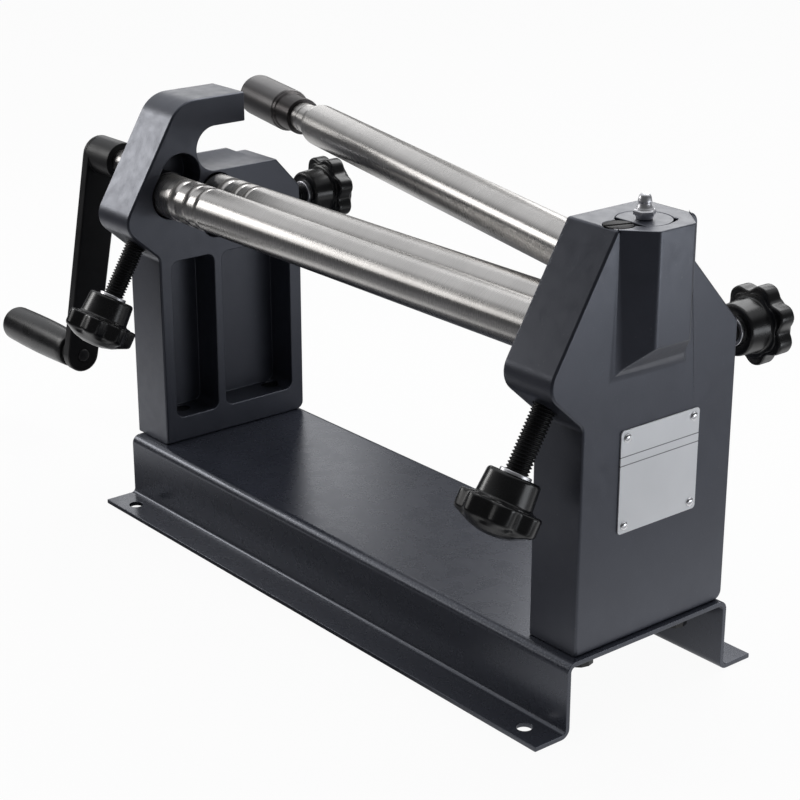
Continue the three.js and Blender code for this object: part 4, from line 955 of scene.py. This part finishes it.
# %% Floor
def mirror_rays(tree, ray):
    """1 for rays that a shiny or clear surface sends on, and 0 for the others."""
    return maths(tree, "MAXIMUM", ray.outputs["Is Glossy Ray"], ray.outputs["Is Transmission Ray"])


def floor_finish():
    finish, tree, shader = new_finish("white_floor", (0.86, 0.86, 0.87), 0.7, specular=0.2)
    ray = add_node(tree, "ShaderNodeLightPath")
    mottle = grain(tree, 300, detail=2)
    paper = shades(tree, mottle, (0.3, (0.85, 0.85, 0.86)), (0.7, (0.88, 0.88, 0.88)))
    across, deep = drawn(tree, "X"), drawn(tree, "Y")
    paper_area = product(
        tree,
        spread(tree, deep, 0.0, 1.0, start=-0.24, end=-0.12),
        spread(tree, across, 0.0, 1.0, start=-0.55, end=-0.30),
        spread(tree, across, 1.0, 0.15, start=0.40, end=0.52),
    )
    askew = maths(tree, "ADD", deep, product(tree, across, 0.35))
    shade = product(
        tree,
        spread(tree, askew, 0.0, 1.0, start=-0.12, end=-0.09),
        spread(tree, across, 0.0, 1.0, start=-0.16, end=-0.10),
        spread(tree, across, 1.0, 0.0, start=0.25, end=0.34),
    )
    bright = product(tree, paper_area, maths(tree, "SUBTRACT", 1.0, shade))
    on_paper = maths(tree, "MAXIMUM", bright, ray.outputs["Is Camera Ray"])
    feed(tree, shader, Base_Color=blend_colours(tree, on_paper, (0.22, 0.22, 0.23), paper))
    white = add_node(tree, "ShaderNodeEmission", Color=(1, 1, 1, 1), Strength=1.0)
    seen = product(tree, ray.outputs["Is Camera Ray"], 0.95)
    mirrored = product(tree, mirror_rays(tree, ray), on_paper, 0.6)
    mix = add_node(tree, "ShaderNodeMixShader")
    tree.links.new(maths(tree, "ADD", seen, mirrored), mix.inputs[0])
    tree.links.new(shader.outputs[0], mix.inputs[1])
    tree.links.new(white.outputs[0], mix.inputs[2])
    tree.links.new(mix.outputs[0], tree.nodes["Material Output"].inputs["Surface"])
    return finish


bm = bmesh.new()
bmesh.ops.create_grid(bm, x_segments=8, y_segments=8, size=12.0)
bmesh.ops.translate(bm, vec=(0, 0, -0.5 * MM), verts=bm.verts)
mesh = bpy.data.meshes.new("floor")
bm.to_mesh(mesh)
bm.free()
mesh.materials.append(floor_finish())
floor = bpy.data.objects.new("floor", mesh)
bpy.context.scene.collection.objects.link(floor)
print("floor:", len(mesh.polygons), "faces")

# %% [markdown]
# ## The room
#
# Steel and glossy paint mirror the whole room, so the room is part of their look. A photograph of a
# studio could surround the scene, but a pattern on direction is enough: a bright cloth above, a gap in
# it low at the left back, and a dim rest. Mirrored rays see this room brighter than the soft light that
# it gives, and the camera sees an almost white backdrop.

# %% World
world = bpy.data.worlds.new("studio")
bpy.context.scene.world = world
world.use_nodes = True
tree = world.node_tree
direction = add_node(tree, "ShaderNodeTexCoord").outputs["Generated"]


def lobe(towards, start, end):
    """0 to 1, as the cosine of the angle to a direction goes from start to end."""
    node = add_node(tree, "ShaderNodeVectorMath", {"operation": "DOT_PRODUCT"})
    tree.links.new(direction, node.inputs[0])
    node.inputs[1].default_value = Vector(towards).normalized()
    return spread(tree, node.outputs["Value"], 0.0, 1.0, start=start, end=end)


ray = add_node(tree, "ShaderNodeLightPath")
gap_in_cloth = lobe((-0.55, 0.80, 0.22), 0.87, 0.94)
cloth = product(tree, lobe((-0.30, 0.35, 0.89), 0.42, 0.70), maths(tree, "SUBTRACT", 1.0, gap_in_cloth))
room = maths(tree, "ADD", product(tree, cloth, 0.9), 0.10)
mirrored = product(tree, mirror_rays(tree, ray), room, 0.82)
soft = product(tree, room, 0.55)
strength = maths(tree, "MAXIMUM", maths(tree, "MAXIMUM", soft, mirrored), ray.outputs["Is Camera Ray"])
backdrop = tree.nodes["Background"]
backdrop.inputs["Color"].default_value = (0.97, 0.98, 1.0, 1)
tree.links.new(strength, backdrop.inputs["Strength"])
print("world:", len(tree.nodes), "nodes")

# %% [markdown]
# ## Lamps
#
# Dark paint and bright steel are drawn by what they mirror, so the lamps are soft boxes: rectangles that
# show as soft patches and bands. A square one at the left front lights the sloped faces of the castings, and
# a long one beside it draws the bands on the rolls. Two from behind brighten the tops of the standards,
# a large one high up behind gives the general light, and two cool ones lift the lower right a little.

# %% Lamps
WARM, COOL = (1.0, 0.99, 0.98), (0.93, 0.96, 1.0)


def soft_box(name, where, aim, width, height, power, colour=(1, 1, 1)):
    lamp = bpy.data.lights.new(name, "AREA")
    lamp.shape, lamp.size, lamp.size_y = "RECTANGLE", width, height
    lamp.energy, lamp.color = power, colour
    box = bpy.data.objects.new(name, lamp)
    box.location = where
    box.rotation_mode = "QUATERNION"
    box.rotation_quaternion = (Vector(where) - Vector(aim)).to_track_quat("Z", "Y")
    bpy.context.scene.collection.objects.link(box)


soft_box("slope_light", (-0.50, -0.27, 0.39), (-0.09, -0.045, 0.205), 0.16, 0.16, 0.37, WARM)
soft_box("long_front_light", (-0.60, -0.50, 0.42), (0.05, -0.03, 0.19), 0.70, 0.24, 0.92, WARM)
soft_box("left_back_light", (-0.78, 0.465, 0.417), (-0.09, 0.0, 0.247), 0.32, 0.26, 0.4)
soft_box("right_top_light", (-0.06, 0.44, 0.40), (0.34, 0.02, 0.247), 0.30, 0.22, 0.46)
soft_box("overhead_soft_box", (-0.20, 0.90, 1.55), (0, 0, 0.13), 1.3, 1.0, 12)
soft_box("right_fill", (0.85, 0.30, 0.12), (0.30, 0.0, 0.05), 0.5, 0.2, 0.9, COOL)
soft_box("right_low_light", (0.60, -0.05, 0.02), (0.40, 0.03, 0.03), 0.20, 0.05, 0.03, COOL)
print("lamps:", len(bpy.data.lights))
